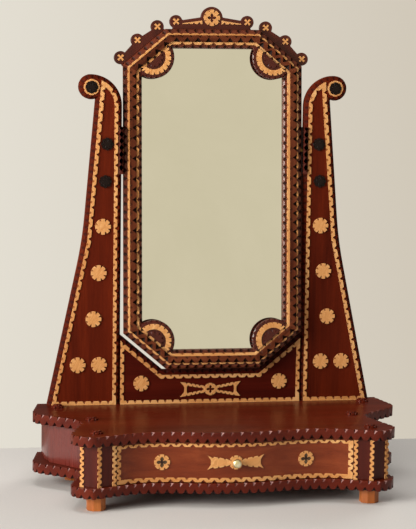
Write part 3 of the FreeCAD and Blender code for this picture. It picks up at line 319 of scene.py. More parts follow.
def addPiece(name, bm, finish, body, slot, node=None, bevel=0.3 * mm, segments=2):
    bmesh.ops.recalc_face_normals(bm, faces=bm.faces)
    mesh = bpy.data.meshes.new(name)
    bm.to_mesh(mesh)
    bm.free()
    if "custom_normal" in mesh.attributes:  # a copy of a CAD node brings its own
        mesh.attributes.remove(mesh.attributes["custom_normal"])
    mesh.materials.append(finish)
    mesh.shade_smooth()
    mesh.set_sharp_from_angle(angle=sharpTurn)
    piece = bpy.data.objects.new(name, mesh)
    scene.collection.objects.link(piece)
    soften = piece.modifiers.new("softEdges", "BEVEL")
    soften.width = bevel
    soften.segments = segments
    soften.limit_method = "ANGLE"
    soften.angle_limit = sharpTurn
    soften.harden_normals = True
    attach(piece, body)
    if node:
        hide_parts(node)


def dress(node, bm, finish, **edges):  # a piece in a node's place and on the node's body
    words = node.split("_")
    name = words[0] + "".join(word.title() for word in words[1:])
    addPiece(name, bm, finish, frame["nodes"][node]["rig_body"], slotOf[node], node, **edges)


def loopMiddle(loop):
    spans = [(min(spot[axis] for spot in loop), max(spot[axis] for spot in loop)) for axis in range(3)]
    return Vector([(low + high) / 2 for low, high in spans])


def faceLoops(node, facing):  # outlines of a node's faces that look one way, with the wood on their left
    bm = mergedNode(node)
    flat = [face for face in bm.faces if face.normal.dot(facing) > sameWay]
    known = set(flat)
    follow = {}
    for face in flat:
        for corner in face.loops:
            if not any(other in known for other in corner.edge.link_faces if other is not face):
                follow[corner.vert] = corner.link_loop_next.vert
    loops = []
    while follow:
        start, vert = follow.popitem()
        loop = [start]
        while vert is not start:
            loop.append(vert)
            vert = follow.pop(vert)
        loops.append([spot.co.copy() for spot in loop])
    bm.free()
    return sorted(loops, key=lambda loop: [round(far, 4) for far in loopMiddle(loop).xz] + [len(loop)])


def outlineOf(node, facing):  # the longest outline of a node's faces that look one way
    return max(faceLoops(node, facing), key=lambda loop: sum((a - b).length for a, b in zip(loop, loop[1:])))


def facingsOf(node, wanted):  # the different ways that the wanted faces of a node look
    found = []
    for polygon in frame["nodes"][node].data.polygons:
        if wanted(polygon) and all(polygon.normal.dot(known) < sameWay for known in found):
            found.append(polygon.normal.copy())
    return found


def lifted(loop, facing, rise):
    return [spot + facing * rise for spot in loop]


def runsOf(loop):  # an outline parted at its sharp corners
    count = len(loop)
    corners = [index for index in range(count)
               if (loop[index] - loop[index - 1]).angle(loop[(index + 1) % count] - loop[index]) > cornerTurn]
    if not corners:
        return [loop + loop[:1]]
    runs = []
    for start, stop in zip(corners, corners[1:] + corners[:1]):
        runs.append([loop[(start + step) % count] for step in range((stop - start - 1) % count + 2)])
    return runs


def cornerSlide(before, after, slopeBefore, slopeAfter):  # a corner drawn in by the slopes of its two edges
    turn = before.dot(after)
    if turn > 0.98:  # hardly a corner
        return after * slopeAfter
    slide = before * (slopeBefore - slopeAfter * turn) + after * (slopeAfter - slopeBefore * turn)
    return slide / (1 - turn * turn)


def levelMarks(run, reach, style):  # chips at even levels, so that the two edges of a strip keep step
    half = style["gape"] * style["pitch"] / 2
    levels = [spot.dot(style.get("axis", up)) for spot in run]
    centres = []
    for start, stop, near, far in zip(levels, levels[1:], reach, reach[1:]):
        steps = [math.ceil(level / style["pitch"] - style["phase"]) for level in sorted((start, stop))]
        for step in range(*steps):
            rise = (step + style["phase"]) * style["pitch"] - start
            centres.append(near + (far - near) * rise / (stop - start))
    margin = half + style.get("margin", 0.0)
    centres = [centre for centre in centres if margin < centre < reach[-1] - margin]
    clear = half + 0.2 * mm  # no bend of the edge stands nearer to a chip
    marks = [(far, "plain") for far in reach[:-1]
             if far == 0 or all(abs(far - centre) > clear for centre in centres)]
    for centre in centres:
        marks += [(centre - half, "shoulder"), (centre, "chip"), (centre + half, "shoulder")]
    return [(far / reach[-1], kind) for far, kind in sorted(marks)]


def cellMarks(whole, style):  # chips in even cells along a run, and marks between them for chips below
    cells = max(1, round(whole / style["pitch"]))
    half = style["gape"] / 2
    marks = [(0.0, "plain")]
    for cell in range(cells):
        centre = cell + 0.5 + style.get("shift", 0.0)
        if centre > 0.5:
            marks.append((centre - 0.5, "under"))
        if centre + half < cells:
            tip = centre + style.get("skew", 0.0)
            marks += [(centre - half, "shoulder"), (tip, "chip"), (centre + half, "shoulder")]
    return [(far / cells, kind) for far, kind in marks]


def chipSpots(loop, facing, choose):  # points of an outline, with the chips that each run's style asks for
    spots, starts, ends = [], [], []
    for run in runsOf(loop):
        legs = [after - before for before, after in zip(run, run[1:])]
        reach = [0.0]
        for leg in legs:
            reach.append(reach[-1] + leg.length)
        whole = reach[-1]
        chord = run[-1] - run[0]
        style = choose({"length": whole, "outward": chord.cross(facing).normalized(),
                        "middle": (run[0] + run[-1]) / 2, "bent": chord.length < 0.97 * whole})
        if not style:
            marks = [(far / whole, "plain") for far in reach[:-1]]
        elif "phase" in style:
            marks = levelMarks(run, reach, style)
        else:
            marks = cellMarks(whole, style)
        slope = style.get("slope", 0.0) if style else 0.0
        starts.append(len(spots))
        ends.append((facing.cross(legs[-1].normalized()), slope))
        for share, kind in marks:
            leg = max(index for index in range(len(legs)) if reach[index] <= share * whole + 1e-9)
            along = legs[leg].normalized()
            inward = facing.cross(along)
            spots.append({"at": run[leg] + along * (share * whole - reach[leg]), "along": along, "kind": kind,
                          "inward": inward, "style": style, "slide": inward * slope})
    for number, start in enumerate(starts):
        corner, (before, slopeBefore) = spots[start], ends[number - 1]
        slope = corner["style"].get("slope", 0.0) if corner["style"] else 0.0
        corner["slide"] = cornerSlide(before, corner["inward"], slopeBefore, slope)
    return spots


def plainSpots(loop, facing):
    return chipSpots(loop, facing, lambda run: None)


# edges that look to the lamp's side take the lit form of their style, smaller chips with less painted shade;
# sloped edges that look away get extra painted shade
chipSpec = {"lampSide": Vector((-0.8, 0, 0.6)), "lampShare": 0.25, "awayShade": 0.2, "leastGlint": 0.35,
            "paleBeat": 9.0e3, "holeShadeRecess": 2.0,
            "grainSense": Vector((1, 0.3, 0.9))}  # the end that a strip's grain runs towards


def newCarving():
    bm = bmesh.new()
    bm.verts.layers.int.new("spot")
    bm.verts.layers.float_vector.new("grain")
    bm.loops.layers.float.new("recess")
    return bm


def raiseRing(bm, rim, step):  # an outline drawn on by one step, kept in the outline's order
    made = bmesh.ops.extrude_edge_only(bm, edges=rim)["geom"]
    layer = bm.verts.layers.int["spot"]
    ring = [item for item in made if isinstance(item, bmesh.types.BMVert)]
    ring.sort(key=lambda vert: vert[layer])
    fresh = set(ring)
    rim = [item for item in made if isinstance(item, bmesh.types.BMEdge) and fresh.issuperset(item.verts)]
    bmesh.ops.translate(bm, verts=ring, vec=step)
    return ring, rim


def tint(bm, faces, recess):  # how dark a facet is painted: 0 plain wood, 1 the painted shade at the bottom of a chip, below 0 a painted glint
    layer = bm.loops.layers.float["recess"]
    for face in faces:
        for corner in face.loops:
            corner[layer] = recess(corner)


def cutChips(bm, spots, face, deep, kind):  # chips sunk from one ring of an outline towards the next
    ties, cuts = [], []
    for spot, top, low in zip(spots, face, deep):
        style = spot["style"]
        lampward = -spot["inward"].dot(chipSpec["lampSide"])
        if style and "lit" in style and lampward > chipSpec["lampShare"]:
            style = style["lit"]
        if style and kind == "under":
            style = style["below"]
        if kind == "chip" and spot["kind"] != "chip":
            top.co += spot.get("slide", Vector())
        if spot["kind"] == kind:
            top.co += spot["inward"] * style["bite"]
            low.co += spot["inward"] * style["bite"] * style.get("through", 0.0)
            ties.append(low)
            cuts.append((top, low, style, spot["along"]))
        if spot["kind"] == "shoulder":
            ties.append(top)
            if kind == "chip":
                top.co += spot["inward"] * style.get("round", 0.0)
                low.co += spot["inward"] * style.get("round", 0.0)
    if cuts:
        bmesh.ops.connect_verts(bm, verts=ties)
    # sloped edge walls are painted darker, with painted shade added on those that look away from the lamp
    for spot, top, low in zip(spots, face, deep):
        if kind == "chip" and spot["style"] and "stain" in spot["style"]:
            shaded = spot["inward"].dot(chipSpec["lampSide"]) > chipSpec["lampShare"]
            stain = spot["style"]["stain"] + (chipSpec["awayShade"] if shaded else 0.0)
            tint(bm, set(top.link_faces) & set(low.link_faces), lambda corner: stain)
    # chip facets carry painted shade, the fill share at the shoulders and the deep share at the valley
    for top, low, style, along in cuts:
        ends = (style.get("fill", 0.0), style.get("deep", 1.0))
        beat = math.sin(chipSpec["paleBeat"] * (top.co.x + top.co.y)) ** 2  # no two painted glints quite alike
        pale = chipSpec["leastGlint"] + (1 - chipSpec["leastGlint"]) * beat
        for facet in set(top.link_faces) & set(low.link_faces):
            # the far facet of a chip gets a painted glint where the style asks for one
            if "pale" in style and (facet.calc_center_median() - top.co).dot(along) > 0:
                tint(bm, [facet], lambda corner: style["pale"] * pale)
            else:
                tint(bm, [facet], lambda corner: ends[corner.vert in (top, low)])


def carve(bm, outlines, facing, thick, drop=None, underDrop=None, along=None, ledge=None):
    numberLayer = bm.verts.layers.int["spot"]
    grainLayer = bm.verts.layers.float_vector["grain"]
    drop = drop or thick
    depths = [0.0, drop]
    if ledge:
        depths += [ledge["depth"], ledge["depth"]]
    if underDrop:
        depths.append(thick - underDrop)
    if thick > depths[-1] + mergeGap:
        depths.append(thick)
    fronts, backs = [], []
    for spots in outlines:
        ring = [bm.verts.new(spot["at"]) for spot in spots]
        for number, vert in enumerate(ring):
            vert[numberLayer] = number
        rim = [bm.edges.new((ring[index - 1], ring[index])) for index in range(len(ring))]
        rings = [ring]
        fronts += rim
        for before, after in zip(depths, depths[1:]):
            ring, rim = raiseRing(bm, rim, facing * (before - after))
            if ledge and before >= drop:
                for vert, spot in zip(ring, spots):
                    step = ledge["shift"](spot) if before == after else ledge["lean"](spot) * (after - before)
                    vert.co += step
            rings.append(ring)
        backs += rim
        cutChips(bm, spots, rings[0], rings[1], "chip")
        if underDrop:
            cutChips(bm, spots, rings[-1], rings[-2], "under")
        for ring in rings:
            for vert, spot in zip(ring, spots):
                way = along or spot["along"]
                if not along and way.dot(chipSpec["grainSense"]) <= 0:
                    way = -way
                vert[grainLayer] = (vert.co.dot(way), vert.co.dot(way.cross(facing)), vert.co.dot(facing))
    for rim, way in ((fronts, facing), (backs, -facing)):
        bmesh.ops.triangle_fill(bm, use_beauty=True, use_dissolve=False, edges=rim, normal=way)


# the two boards, chipped along both arrises except at the back; one facet of each upper chip carries a painted
# glint, the under chips painted shade
boardSpec = {"pitches": {"base_board": 12.5 * mm, "top_board": 13.4 * mm}, "gape": 0.38, "skew": -0.13,
             "bite": 3.4 * mm, "deep": 0.7, "fill": 0.5, "pale": -1.0, "drop": 4.8 * mm,
             "below": {"bite": 5.6 * mm, "through": 0.12, "fill": 0.9, "drop": 5.8 * mm},
             "ears": {"reach": 11.0 * mm, "steps": 5, "back": 5 * mm}}


def roundedEars(loop, ears):  # the outer corners of a board eased into curves, its back ones left alone
    back = max(spot.y for spot in loop) - ears["back"]
    eased = []
    for before, corner, after in zip(loop[-1:] + loop[:-1], loop, loop[1:] + loop[:1]):
        came, goes = corner - before, after - corner
        if corner.y > back or came.normalized().cross(goes.normalized()).z < 0.3:
            eased.append(corner)
            continue
        start = corner - came.normalized() * min(ears["reach"], 0.45 * came.length)
        stop = corner + goes.normalized() * min(ears["reach"], 0.45 * goes.length)
        for step in range(ears["steps"] + 1):
            share = step / ears["steps"]
            eased.append(start.lerp(corner, share).lerp(corner.lerp(stop, share), share))
    return eased


boardPlan = roundedEars(outlineOf("base_board", up), boardSpec["ears"])
for node, pitch in boardSpec["pitches"].items():
    low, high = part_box(node)
    style = dict(boardSpec, pitch=pitch)
    plan = [Vector((spot.x, spot.y, high.z)) for spot in boardPlan]
    spots = chipSpots(plan, up, lambda run: style if run["outward"].y < 0.9 else None)
    bm = newCarving()
    carve(bm, [spots], up, high.z - low.z, boardSpec["drop"], boardSpec["below"]["drop"], along=right)
    dress(node, bm, woods["boardWood"], bevel=0.35 * mm)
print("boards carved")

# uprights and lower panel
# the sloped edges are painted darker, with painted shade on those that look away from the lamp
uprightSpec = {"pitch": 9.8 * mm, "gape": 0.8, "bite": 5.3 * mm, "drop": 4.4 * mm, "slope": 3.0 * mm,
               "stain": 0.45, "fill": 0.5, "shortest": 12 * mm}
panelSpec = {"pitch": 10.6 * mm, "gape": 0.86, "bite": 5.4 * mm, "drop": 4.5 * mm, "slope": 2.0 * mm,
             "stain": 0.6, "fill": 0.7}


def uprightStyle(run):
    return uprightSpec if run["outward"].z > -0.9 and run["length"] > uprightSpec["shortest"] else None


def panelStyle(run):
    return panelSpec if run["outward"].z > 0.5 else None


for node, style, spec, along, finish in (("left_upright", uprightStyle, uprightSpec, up, "panelWood"),
                                         ("right_upright", uprightStyle, uprightSpec, up, "panelWood"),
                                         ("lower_panel", panelStyle, panelSpec, right, "deepWood")):
    low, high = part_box(node)
    spots = chipSpots(outlineOf(node, forward), forward, style)
    bm = newCarving()
    carve(bm, [spots], forward, high.y - low.y, spec["drop"], along=along)
    dress(node, bm, woods[finish])
print("uprights and panel carved")

# light inlay strips: deep notches on edges that look right, shallow ones on the left, close ones on top
inlayBevel = 0.25 * mm
cadProud = 1.2 * mm  # how far the solids of the inlays stand out
stripSpec = {
    "deep": {"pitch": 14.9 * mm, "gape": 0.38, "bite": 4.2 * mm, "through": 0.9, "round": 0.3 * mm,
             "phase": 0.0},
    "shallow": {"pitch": 14.9 * mm, "gape": 0.32, "bite": 2.7 * mm, "fill": 1.0, "phase": 0.5},
    "close": {"pitch": 11.0 * mm, "gape": 0.44, "bite": 4.2 * mm, "through": 0.4, "fill": 1.0},
    "topDeep": {"pitch": 12.8 * mm, "gape": 0.42, "bite": 3.6 * mm, "through": 0.9, "round": 0.3 * mm},
    "topShallow": {"pitch": 12.8 * mm, "gape": 0.32, "bite": 2.7 * mm, "fill": 1.0, "shift": 0.5},
    "slantDeep": {"pitch": 12.6 * mm, "gape": 0.42, "bite": 3.6 * mm, "through": 0.9, "round": 0.3 * mm},
    "slantShallow": {"pitch": 12.6 * mm, "gape": 0.36, "bite": 2.7 * mm, "fill": 1.0, "shift": 0.5},
    "ring": {"pitch": 8.8 * mm, "gape": 0.3, "bite": 1.1 * mm, "through": 0.8},
    "proud": 1.6 * mm, "shortest": 18 * mm, "ringLength": 60 * mm, "panelFoot": 25 * mm,
}
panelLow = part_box("lower_panel")[0].z


def stripStyle(run):
    if run["length"] < stripSpec["shortest"] or run["outward"].z < -0.9:
        return None
    if run["outward"].z > 0.9:
        return stripSpec["close"]
    return stripSpec["deep" if run["outward"].x > 0 else "shallow"]


def ringStyle(run):
    return stripSpec["ring"] if run["length"] > stripSpec["ringLength"] else None


def panelStripStyle(run):  # the strips along the top and up to the sides keep their own pitch
    steep = run["outward"].z
    if abs(steep) <= 0.3 or run["middle"].z <= panelLow + stripSpec["panelFoot"]:
        return stripStyle(run)
    if abs(steep) > 0.9:
        return stripSpec["topDeep" if steep < 0 else "topShallow"]
    return stripSpec["slantDeep" if run["outward"].x > 0 else "slantShallow"]


for node, style in (("left_upright_inlay", stripStyle), ("right_upright_inlay", stripStyle),
                    ("lower_panel_inlay", panelStripStyle)):
    loops = [lifted(loop, forward, stripSpec["proud"] - cadProud) for loop in faceLoops(node, forward)]
    border = [chipSpots(loop, forward, style) for loop in loops if len(runsOf(loop)) > 1]
    rings = [chipSpots(loop, forward, ringStyle) for loop in loops if len(runsOf(loop)) == 1]
    bm = newCarving()
    for outlines in (border, rings):
        if outlines:
            carve(bm, outlines, forward, stripSpec["proud"])
    dress(node, bm, woods["lightWood"], bevel=inlayBevel)
print("inlay strips laid")

# mirror frame: eight rails with a rebate, a light layer and a dark ridge on them
glassFaces = frame["nodes"]["mirror_glass"].data.polygons
facing = max((face for face in glassFaces if face.normal.y < 0), key=lambda face: face.area).normal.copy()
mirrorUp = facing.cross(right)
mirrorMiddle = sum(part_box("mirror_glass"), Vector()) / 2
railSpec = {
    "outer": {"pitch": 12.0 * mm, "gape": 0.66, "bite": 6.0 * mm, "slope": 1.8 * mm, "fill": 0.6},
    "inner": {"pitch": 11.6 * mm, "gape": 0.66, "bite": 4.8 * mm, "slope": 1.8 * mm, "fill": 0.6},
    "drop": 3.8 * mm, "ledge": 9.0 * mm, "rebate": 7.0 * mm, "width": 27.2 * mm, "thick": 18.0 * mm,
    "lean": 0.17,  # how far the outer walls draw in towards the back
    "shortest": 45 * mm, "near": 0.1 * mm, "same": 0.05 * mm,
}
railNodes = ["right_stile", "upper_right_rail", "top_rail", "upper_left_rail",
             "left_stile", "lower_left_rail", "bottom_rail", "lower_right_rail"]


def looksOut(run):  # true on an edge that looks away from the glass
    return run["outward"].dot(run["middle"] - mirrorMiddle) > 0


def railStyle(run):
    if run["length"] < railSpec["shortest"]:
        return None
    return railSpec["outer" if looksOut(run) else "inner"]


def carveRail(node):
    loop = outlineOf(node, facing)
    runs = runsOf(loop)
    outerRun = max(runs, key=lambda run: (run[-1] - run[0]).length)
    mitreLength = min((run[-1] - run[0]).length for run in runs)
    along = (outerRun[-1] - outerRun[0]).normalized()
    outward = along.cross(facing).normalized()
    ends = [outerRun[0], outerRun[-1]]

    def rebateShift(spot):
        if (ends[0] - spot["at"]).dot(outward) < railSpec["width"] - railSpec["near"]:
            return Vector()
        mitre = min((end - spot["at"] for end in ends), key=lambda way: way.length)
        if abs(mitre.length - mitreLength) < railSpec["same"]:
            return mitre * railSpec["rebate"] / railSpec["width"]
        return outward * railSpec["rebate"]

    def wallLean(spot):  # the three rails under the crest keep their walls upright
        if (ends[0] - spot["at"]).dot(outward) > railSpec["near"] or outward.dot(mirrorUp) > 0.3:
            return Vector()
        if min((end - spot["at"]).length for end in ends) > railSpec["same"]:
            return -outward * railSpec["lean"]
        if (spot["at"] - mirrorMiddle).dot(mirrorUp) > 0:
            return Vector()
        far = min(loop, key=lambda place: abs((place - spot["at"]).length - mitreLength))
        return (far - spot["at"]) * railSpec["lean"] / railSpec["width"]

    bm = newCarving()
    carve(bm, [chipSpots(loop, facing, railStyle)], facing, railSpec["thick"], railSpec["drop"], along=along,
          ledge={"depth": railSpec["ledge"], "shift": rebateShift, "lean": wallLean})
    return bm


for node in railNodes:
    dress(node, carveRail(node), woods["railWood"])

layerSpec = {
    "light_layer": {"outer": {"pitch": 13.6 * mm, "gape": 0.5, "bite": 3.2 * mm, "through": 0.5, "fill": 0.6,
                              "lit": {"bite": 1.6 * mm, "through": 0.2, "fill": 0.4}},
                    "inner": {"pitch": 14.7 * mm, "gape": 0.5, "bite": 3.6 * mm, "through": 0.5, "fill": 0.6,
                              "shift": 0.5, "lit": {"bite": 1.8 * mm, "fill": 0.3}},
                    "slant": {"pitch": 11.4 * mm, "gape": 0.46, "bite": 4.2 * mm, "through": 0.9, "fill": 0.8},
                    "width": 16.0 * mm, "widen": (0.0, 0.0), "finish": "lightWood"},
    "ridge_layer": {"outer": {"pitch": 13.4 * mm, "gape": 0.66, "bite": 6.0 * mm, "fill": 0.95,
                              "lit": {"bite": 3.4 * mm, "fill": 0.3, "deep": 0.8}},
                    "inner": {"pitch": 14.7 * mm, "gape": 0.64, "bite": 6.4 * mm, "fill": 0.95,
                              "lit": {"bite": 3.8 * mm, "fill": 0.3, "deep": 0.7}},
                    "width": 7.6 * mm, "widen": (1.4 * mm, 0.4 * mm), "finish": "ridgeWood"},
}
layerThick, layerShortest = 3.0 * mm, 40 * mm


def eightCorners(loop):  # the corners of an eight-sided loop, counted round from the right
    corners = [run[0] for run in runsOf(loop)]
    return sorted(corners, key=lambda spot: math.atan2((spot - mirrorMiddle).dot(mirrorUp), spot.x))


for node, spec in layerSpec.items():
    loops = sorted(faceLoops(node, facing), key=lambda loop: -max(spot.x for spot in loop))
    outer, inner = eightCorners(loops[0]), eightCorners(loops[1])
    for out, within in zip(outer, inner):  # drawn wider along the mitres
        mitre = (out - within) / spec["width"]
        out += mitre * spec["widen"][0]
        within -= mitre * spec["widen"][1]
    bm = newCarving()
    for index in range(8):
        after = (index + 1) % 8
        along = (outer[after] - outer[index]).normalized()
        inside = spec["slant" if 0.3 < abs(along.x) < 0.9 and "slant" in spec else "inner"]
        quad = [outer[index], outer[after], inner[after], inner[index]]
        spots = chipSpots(quad, facing, lambda run: None if run["length"] < layerShortest
                          else spec["outer"] if looksOut(run) else inside)
        carve(bm, [spots], facing, layerThick, along=along)
    dress(node, bm, woods[spec["finish"]], bevel=inlayBevel)
print("mirror frame carved")

# corner fans with their light rings
fanSpec = {
    "corner_fans": {"pitch": 8.2 * mm, "gape": 0.6, "bite": 3.6 * mm, "thick": 4.0 * mm, "drop": 2.8 * mm,
                    "slope": 1.2 * mm, "finish": "crestWood"},
    "fan_rings": {"pitch": 8.4 * mm, "gape": 0.36, "bite": 3.6 * mm, "through": 0.9, "fill": 0.6,
                  "lit": {"bite": 2.4 * mm, "fill": 0.9}, "thick": 1.2 * mm, "finish": "lightWood"},
}
fanArc = 50 * mm  # only the outer arcs are longer
for node, spec in fanSpec.items():
    bm = newCarving()
    for loop in faceLoops(node, facing):
        spots = chipSpots(loop, facing, lambda run: spec if run["bent"] and run["length"] > fanArc else None)
        carve(bm, [spots], facing, spec["thick"], spec.get("drop"))
    dress(node, bm, woods[spec["finish"]], bevel=inlayBevel)

# a carved half rosette in the middle of each fan
heartSpec = {"pitch": 7.6 * mm, "gape": 0.62, "bite": 3.4 * mm, "fill": 0.7, "share": 0.78, "proud": 1.6 * mm}
bm = newCarving()
for loop in faceLoops("fan_rings", facing):
    arcs = [run for run in runsOf(loop) if len(run) > 4]
    arc = min(arcs, key=lambda run: (run[-1] - run[0]).length)[::-1]
    foot = (arc[0] + arc[-1]) / 2
    heart = [foot + (spot - foot) * heartSpec["share"] for spot in arc]
    heart = lifted(heart, facing, heartSpec["proud"] - fanSpec["fan_rings"]["thick"])
    spots = chipSpots(heart, facing, lambda run: heartSpec if run["bent"] else None)
    carve(bm, [spots], facing, heartSpec["proud"])
addPiece("fanHearts", bm, woods["crestWood"], "mirror", "dark_wood", bevel=inlayBevel)
print("corner fans laid")

# crest boards, rounded at the edge
for node, along in (("crest_top", right), ("crest_right", mirrorUp), ("crest_left", mirrorUp)):
    dress(node, copyNode(node, along, facing), woods["crestWood"], bevel=0.9 * mm, segments=3)

# rosettes and buttons; solid is how thick the disc is in the CAD model
rosetteSpec = {
    "light": {"radius": 11.25 * mm, "notches": 8, "gape": 0.36, "bite": 4.0 * mm, "through": 0.9, "fill": 0.6,
              "thick": 2.2 * mm, "solid": 2.0 * mm, "lit": {"bite": 3.2 * mm, "fill": 1.0}},
    "dark": {"radius": 9.0 * mm, "notches": 8, "gape": 0.36, "bite": 3.0 * mm, "through": 0.5,
             "thick": 2.6 * mm, "solid": 4.5 * mm,
             "crown": {"radius": 6.0 * mm, "notches": 8, "gape": 0.4, "bite": 2.2 * mm, "through": 0.3,
                       "thick": 1.9 * mm, "turn": math.pi / 8}},
    "lobe": {"radius": 5.2 * mm, "notches": 4, "gape": 0.6, "bite": 3.7 * mm, "through": 0.95,
             "thick": 1.4 * mm, "solid": cadProud, "turn": math.pi / 4},
    "disc": {"radius": 11.8 * mm, "notches": 8, "gape": 0.3, "bite": 4.2 * mm, "through": 0.9,
             "thick": 1.6 * mm, "solid": cadProud, "petal": 6.6 * mm, "petalWide": 4.6 * mm,
             "lit": {"bite": 3.4 * mm, "fill": 1.0}},
    "drawer": {"radius": 10.8 * mm, "notches": 8, "gape": 0.3, "bite": 3.0 * mm, "through": 0.9,
               "thick": 1.6 * mm, "petal": 7.6 * mm, "petalWide": 5.4 * mm, "ground": 0.5 * mm,
               "lit": {"bite": 2.2 * mm, "fill": 1.0}},
}
# a petal's outline in shares of its length and width, and the share of the width where two petals meet
petalShape, petalJoint = [(0.5, -0.5), (0.8, -0.36), (1.0, 0.0), (0.8, 0.36), (0.5, 0.5)], 0.3
shadeSheetReach = 0.4 * mm  # how far the sheet painted with shade reaches under the petals' edge


def discAxes(facing):
    sideways = right if abs(facing.dot(right)) < 0.9 else forward
    sideways = (sideways - facing * sideways.dot(facing)).normalized()
    return sideways, facing.cross(sideways)


def discSpots(centre, facing, look):  # a round outline with its notches marked
    sideways, across = discAxes(facing)
    half = look["gape"] / 2
    steps = [(0.0, "plain"), (0.25 - half / 2, "plain"), (0.5 - half, "shoulder"), (0.5, "chip"),
             (0.5 + half, "shoulder"), (0.75 + half / 2, "plain")]
    spots = []
    for cell in range(look["notches"]):
        for step, kind in steps:
            turn = math.tau * (cell + step) / look["notches"] + look.get("turn", 0.0)
            spoke = sideways * math.cos(turn) + across * math.sin(turn)
            spots.append({"at": centre + spoke * look["radius"], "along": facing.cross(spoke), "kind": kind,
                          "inward": -spoke, "style": look})
    return spots


def petalSpots(centre, facing, length, wide):  # an outline of four petals that meet in the middle
    sideways, across = discAxes(facing)
    spots = []
    for petal in range(4):
        spoke = sideways * math.cos(petal * math.pi / 2) + across * math.sin(petal * math.pi / 2)
        beside = facing.cross(spoke)
        for far, aside in [(petalJoint * wide / length, -petalJoint)] + petalShape:
            place = centre + spoke * length * far + beside * wide * aside
            spots.append({"at": place, "along": spoke, "kind": "plain", "inward": spoke, "style": None})
    return spots


def carveDisc(bm, centre, facing, look):
    rise = facing * look["thick"]
    outlines = [discSpots(centre + rise, facing, look)]
    if "petal" in look:
        outlines.append(petalSpots(centre + rise, facing, look["petal"], look["petalWide"])[::-1])
    carve(bm, outlines, facing, look["thick"])
    if "ground" in look:  # a sheet painted dark under the petals: painted shade in the pierced cross
        known = set(bm.faces)
        ground = petalSpots(centre + facing * look["ground"], facing, look["petal"] + shadeSheetReach,
                            look["petalWide"] + shadeSheetReach)
        carve(bm, [ground], facing, look["ground"])
        tint(bm, set(bm.faces) - known, lambda corner: chipSpec["holeShadeRecess"])
    if "crown" in look:
        carveDisc(bm, centre + rise, facing, look["crown"])


def carveOver(bm, loop, facing, look):  # a disc in place of the solid one with this outline
    carveDisc(bm, loopMiddle(loop) - facing * look["solid"], facing, look)


for node, look, finish in (("upright_rosettes", "light", "lightWood"),
                           ("lower_panel_rosettes", "light", "lightWood"),
                           ("upright_buttons", "dark", "blackWood")):
    bm = newCarving()
    for loop in faceLoops(node, forward):
        carveOver(bm, loop, forward, rosetteSpec[look])
    dress(node, bm, woods[finish])

bm = newCarving()
caseWays = facingsOf("case_buttons", lambda face: abs(face.normal.x) > 0.9 and face.area > 6e-6
                     and face.normal.x * face.center.x > 0)
for way in [up] + caseWays:
    for loop in faceLoops("case_buttons", way):
        if len(loop) > 20:  # a disc, not the side of one
            carveOver(bm, loop, way, rosetteSpec["dark"])
dress("case_buttons", bm, woods["boardWood"])

crestSpans = {"disc": (18 * mm, math.inf), "lobe": (7 * mm, 11.5 * mm)}  # the rest is the disc's cross
bm = newCarving()
for loop in faceLoops("crest_rosettes", facing):
    span = max(spot.x for spot in loop) - min(spot.x for spot in loop)
    for look, (least, most) in crestSpans.items():
        if least < span < most:
            carveOver(bm, loop, facing, rosetteSpec[look])
dress("crest_rosettes", bm, woods["lightWood"], bevel=inlayBevel)

# toothed wedges on the gable, each side of its disc
wedgeSpec = {"outline": [(13.9, -9.1), (16.0, -9.1), (18.2, -6.0), (20.4, -9.1), (24.0, -9.1), (26.0, -6.8),
                         (28.0, -9.1), (31.5, -9.1), (33.0, -7.7), (34.5, -9.1), (42.3, -9.1), (42.3, -8.0),
                         (13.9, -4.0)],
             "proud": 1.4 * mm}
discLoop = max(faceLoops("crest_rosettes", facing), key=lambda loop: max(spot.z for spot in loop))
discMiddle = loopMiddle(discLoop) + facing * (wedgeSpec["proud"] - cadProud)
discMiddle.x = 0
bm = newCarving()
for side in (-1, 1):
    loop = [discMiddle + right * side * x * mm + mirrorUp * z * mm for x, z in wedgeSpec["outline"][::side]]
    carve(bm, [plainSpots(loop, facing)], facing, wedgeSpec["proud"])
addPiece("gableWedges", bm, woods["lightWood"], "mirror", "light_wood", bevel=0.2 * mm)
print("rosettes and buttons set")

# drawer front and the ornaments that follow its curve
frontPlan = outlineOf("drawer_front", up)
frontBack = max(spot.y for spot in frontPlan)
frontLine = sorted([(spot.x, spot.y) for spot in frontPlan if spot.y < frontBack - 1 * mm])


def frontDepth(x):  # where the drawer front's face lies at a distance from the middle
    for (x0, y0), (x1, y1) in zip(frontLine, frontLine[1:]):
        if x <= x1:
            return y0 + (y1 - y0) * (x - x0) / (x1 - x0)
    return frontLine[-1][1]


def drape(bm):
    for vert in bm.verts:
        vert.co.y += frontDepth(vert.co.x)


ribbonSpec = {
    "deep": {"pitch": 14.6 * mm, "gape": 0.5, "bite": 3.8 * mm, "through": 0.9, "phase": 0.0,
             "margin": 1.0 * mm},
    "shallow": {"pitch": 14.6 * mm, "gape": 0.4, "bite": 2.8 * mm, "through": 0.6, "fill": 0.8, "phase": 0.5,
                "margin": 1.0 * mm},
    "end": {"pitch": 10.0 * mm, "bite": 3.4 * mm, "through": 0.9, "margin": 0.0},
    "width": 6.0 * mm, "proud": 1.6 * mm, "below": 1.4 * mm,  # below: a gap under the front's top edge
}


def ribbonStyle(run):  # deeper on the edges that look right or down, and closer at the two ends
    outward = run["outward"]
    style = ribbonSpec["deep" if outward.x > 0.5 or outward.z < -0.5 else "shallow"]
    if abs(outward.z) > 0.5:
        return dict(style, axis=right)
    end = ribbonSpec["end"]
    phase = style["phase"] + 0.5 + run["middle"].z / end["pitch"]  # counted from the middle of the end
    return {**style, **end, "phase": phase}


def ribbonLoop(inset, topInset):
    low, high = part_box("drawer_front")
    sides, foot, top = (low.x + inset, high.x - inset), low.z + inset, high.z - topInset
    corners = [(sides[0], foot), (sides[1], foot), (sides[1], top), (sides[0], top)]
    return [Vector((x, -ribbonSpec["proud"], z)) for x, z in corners]


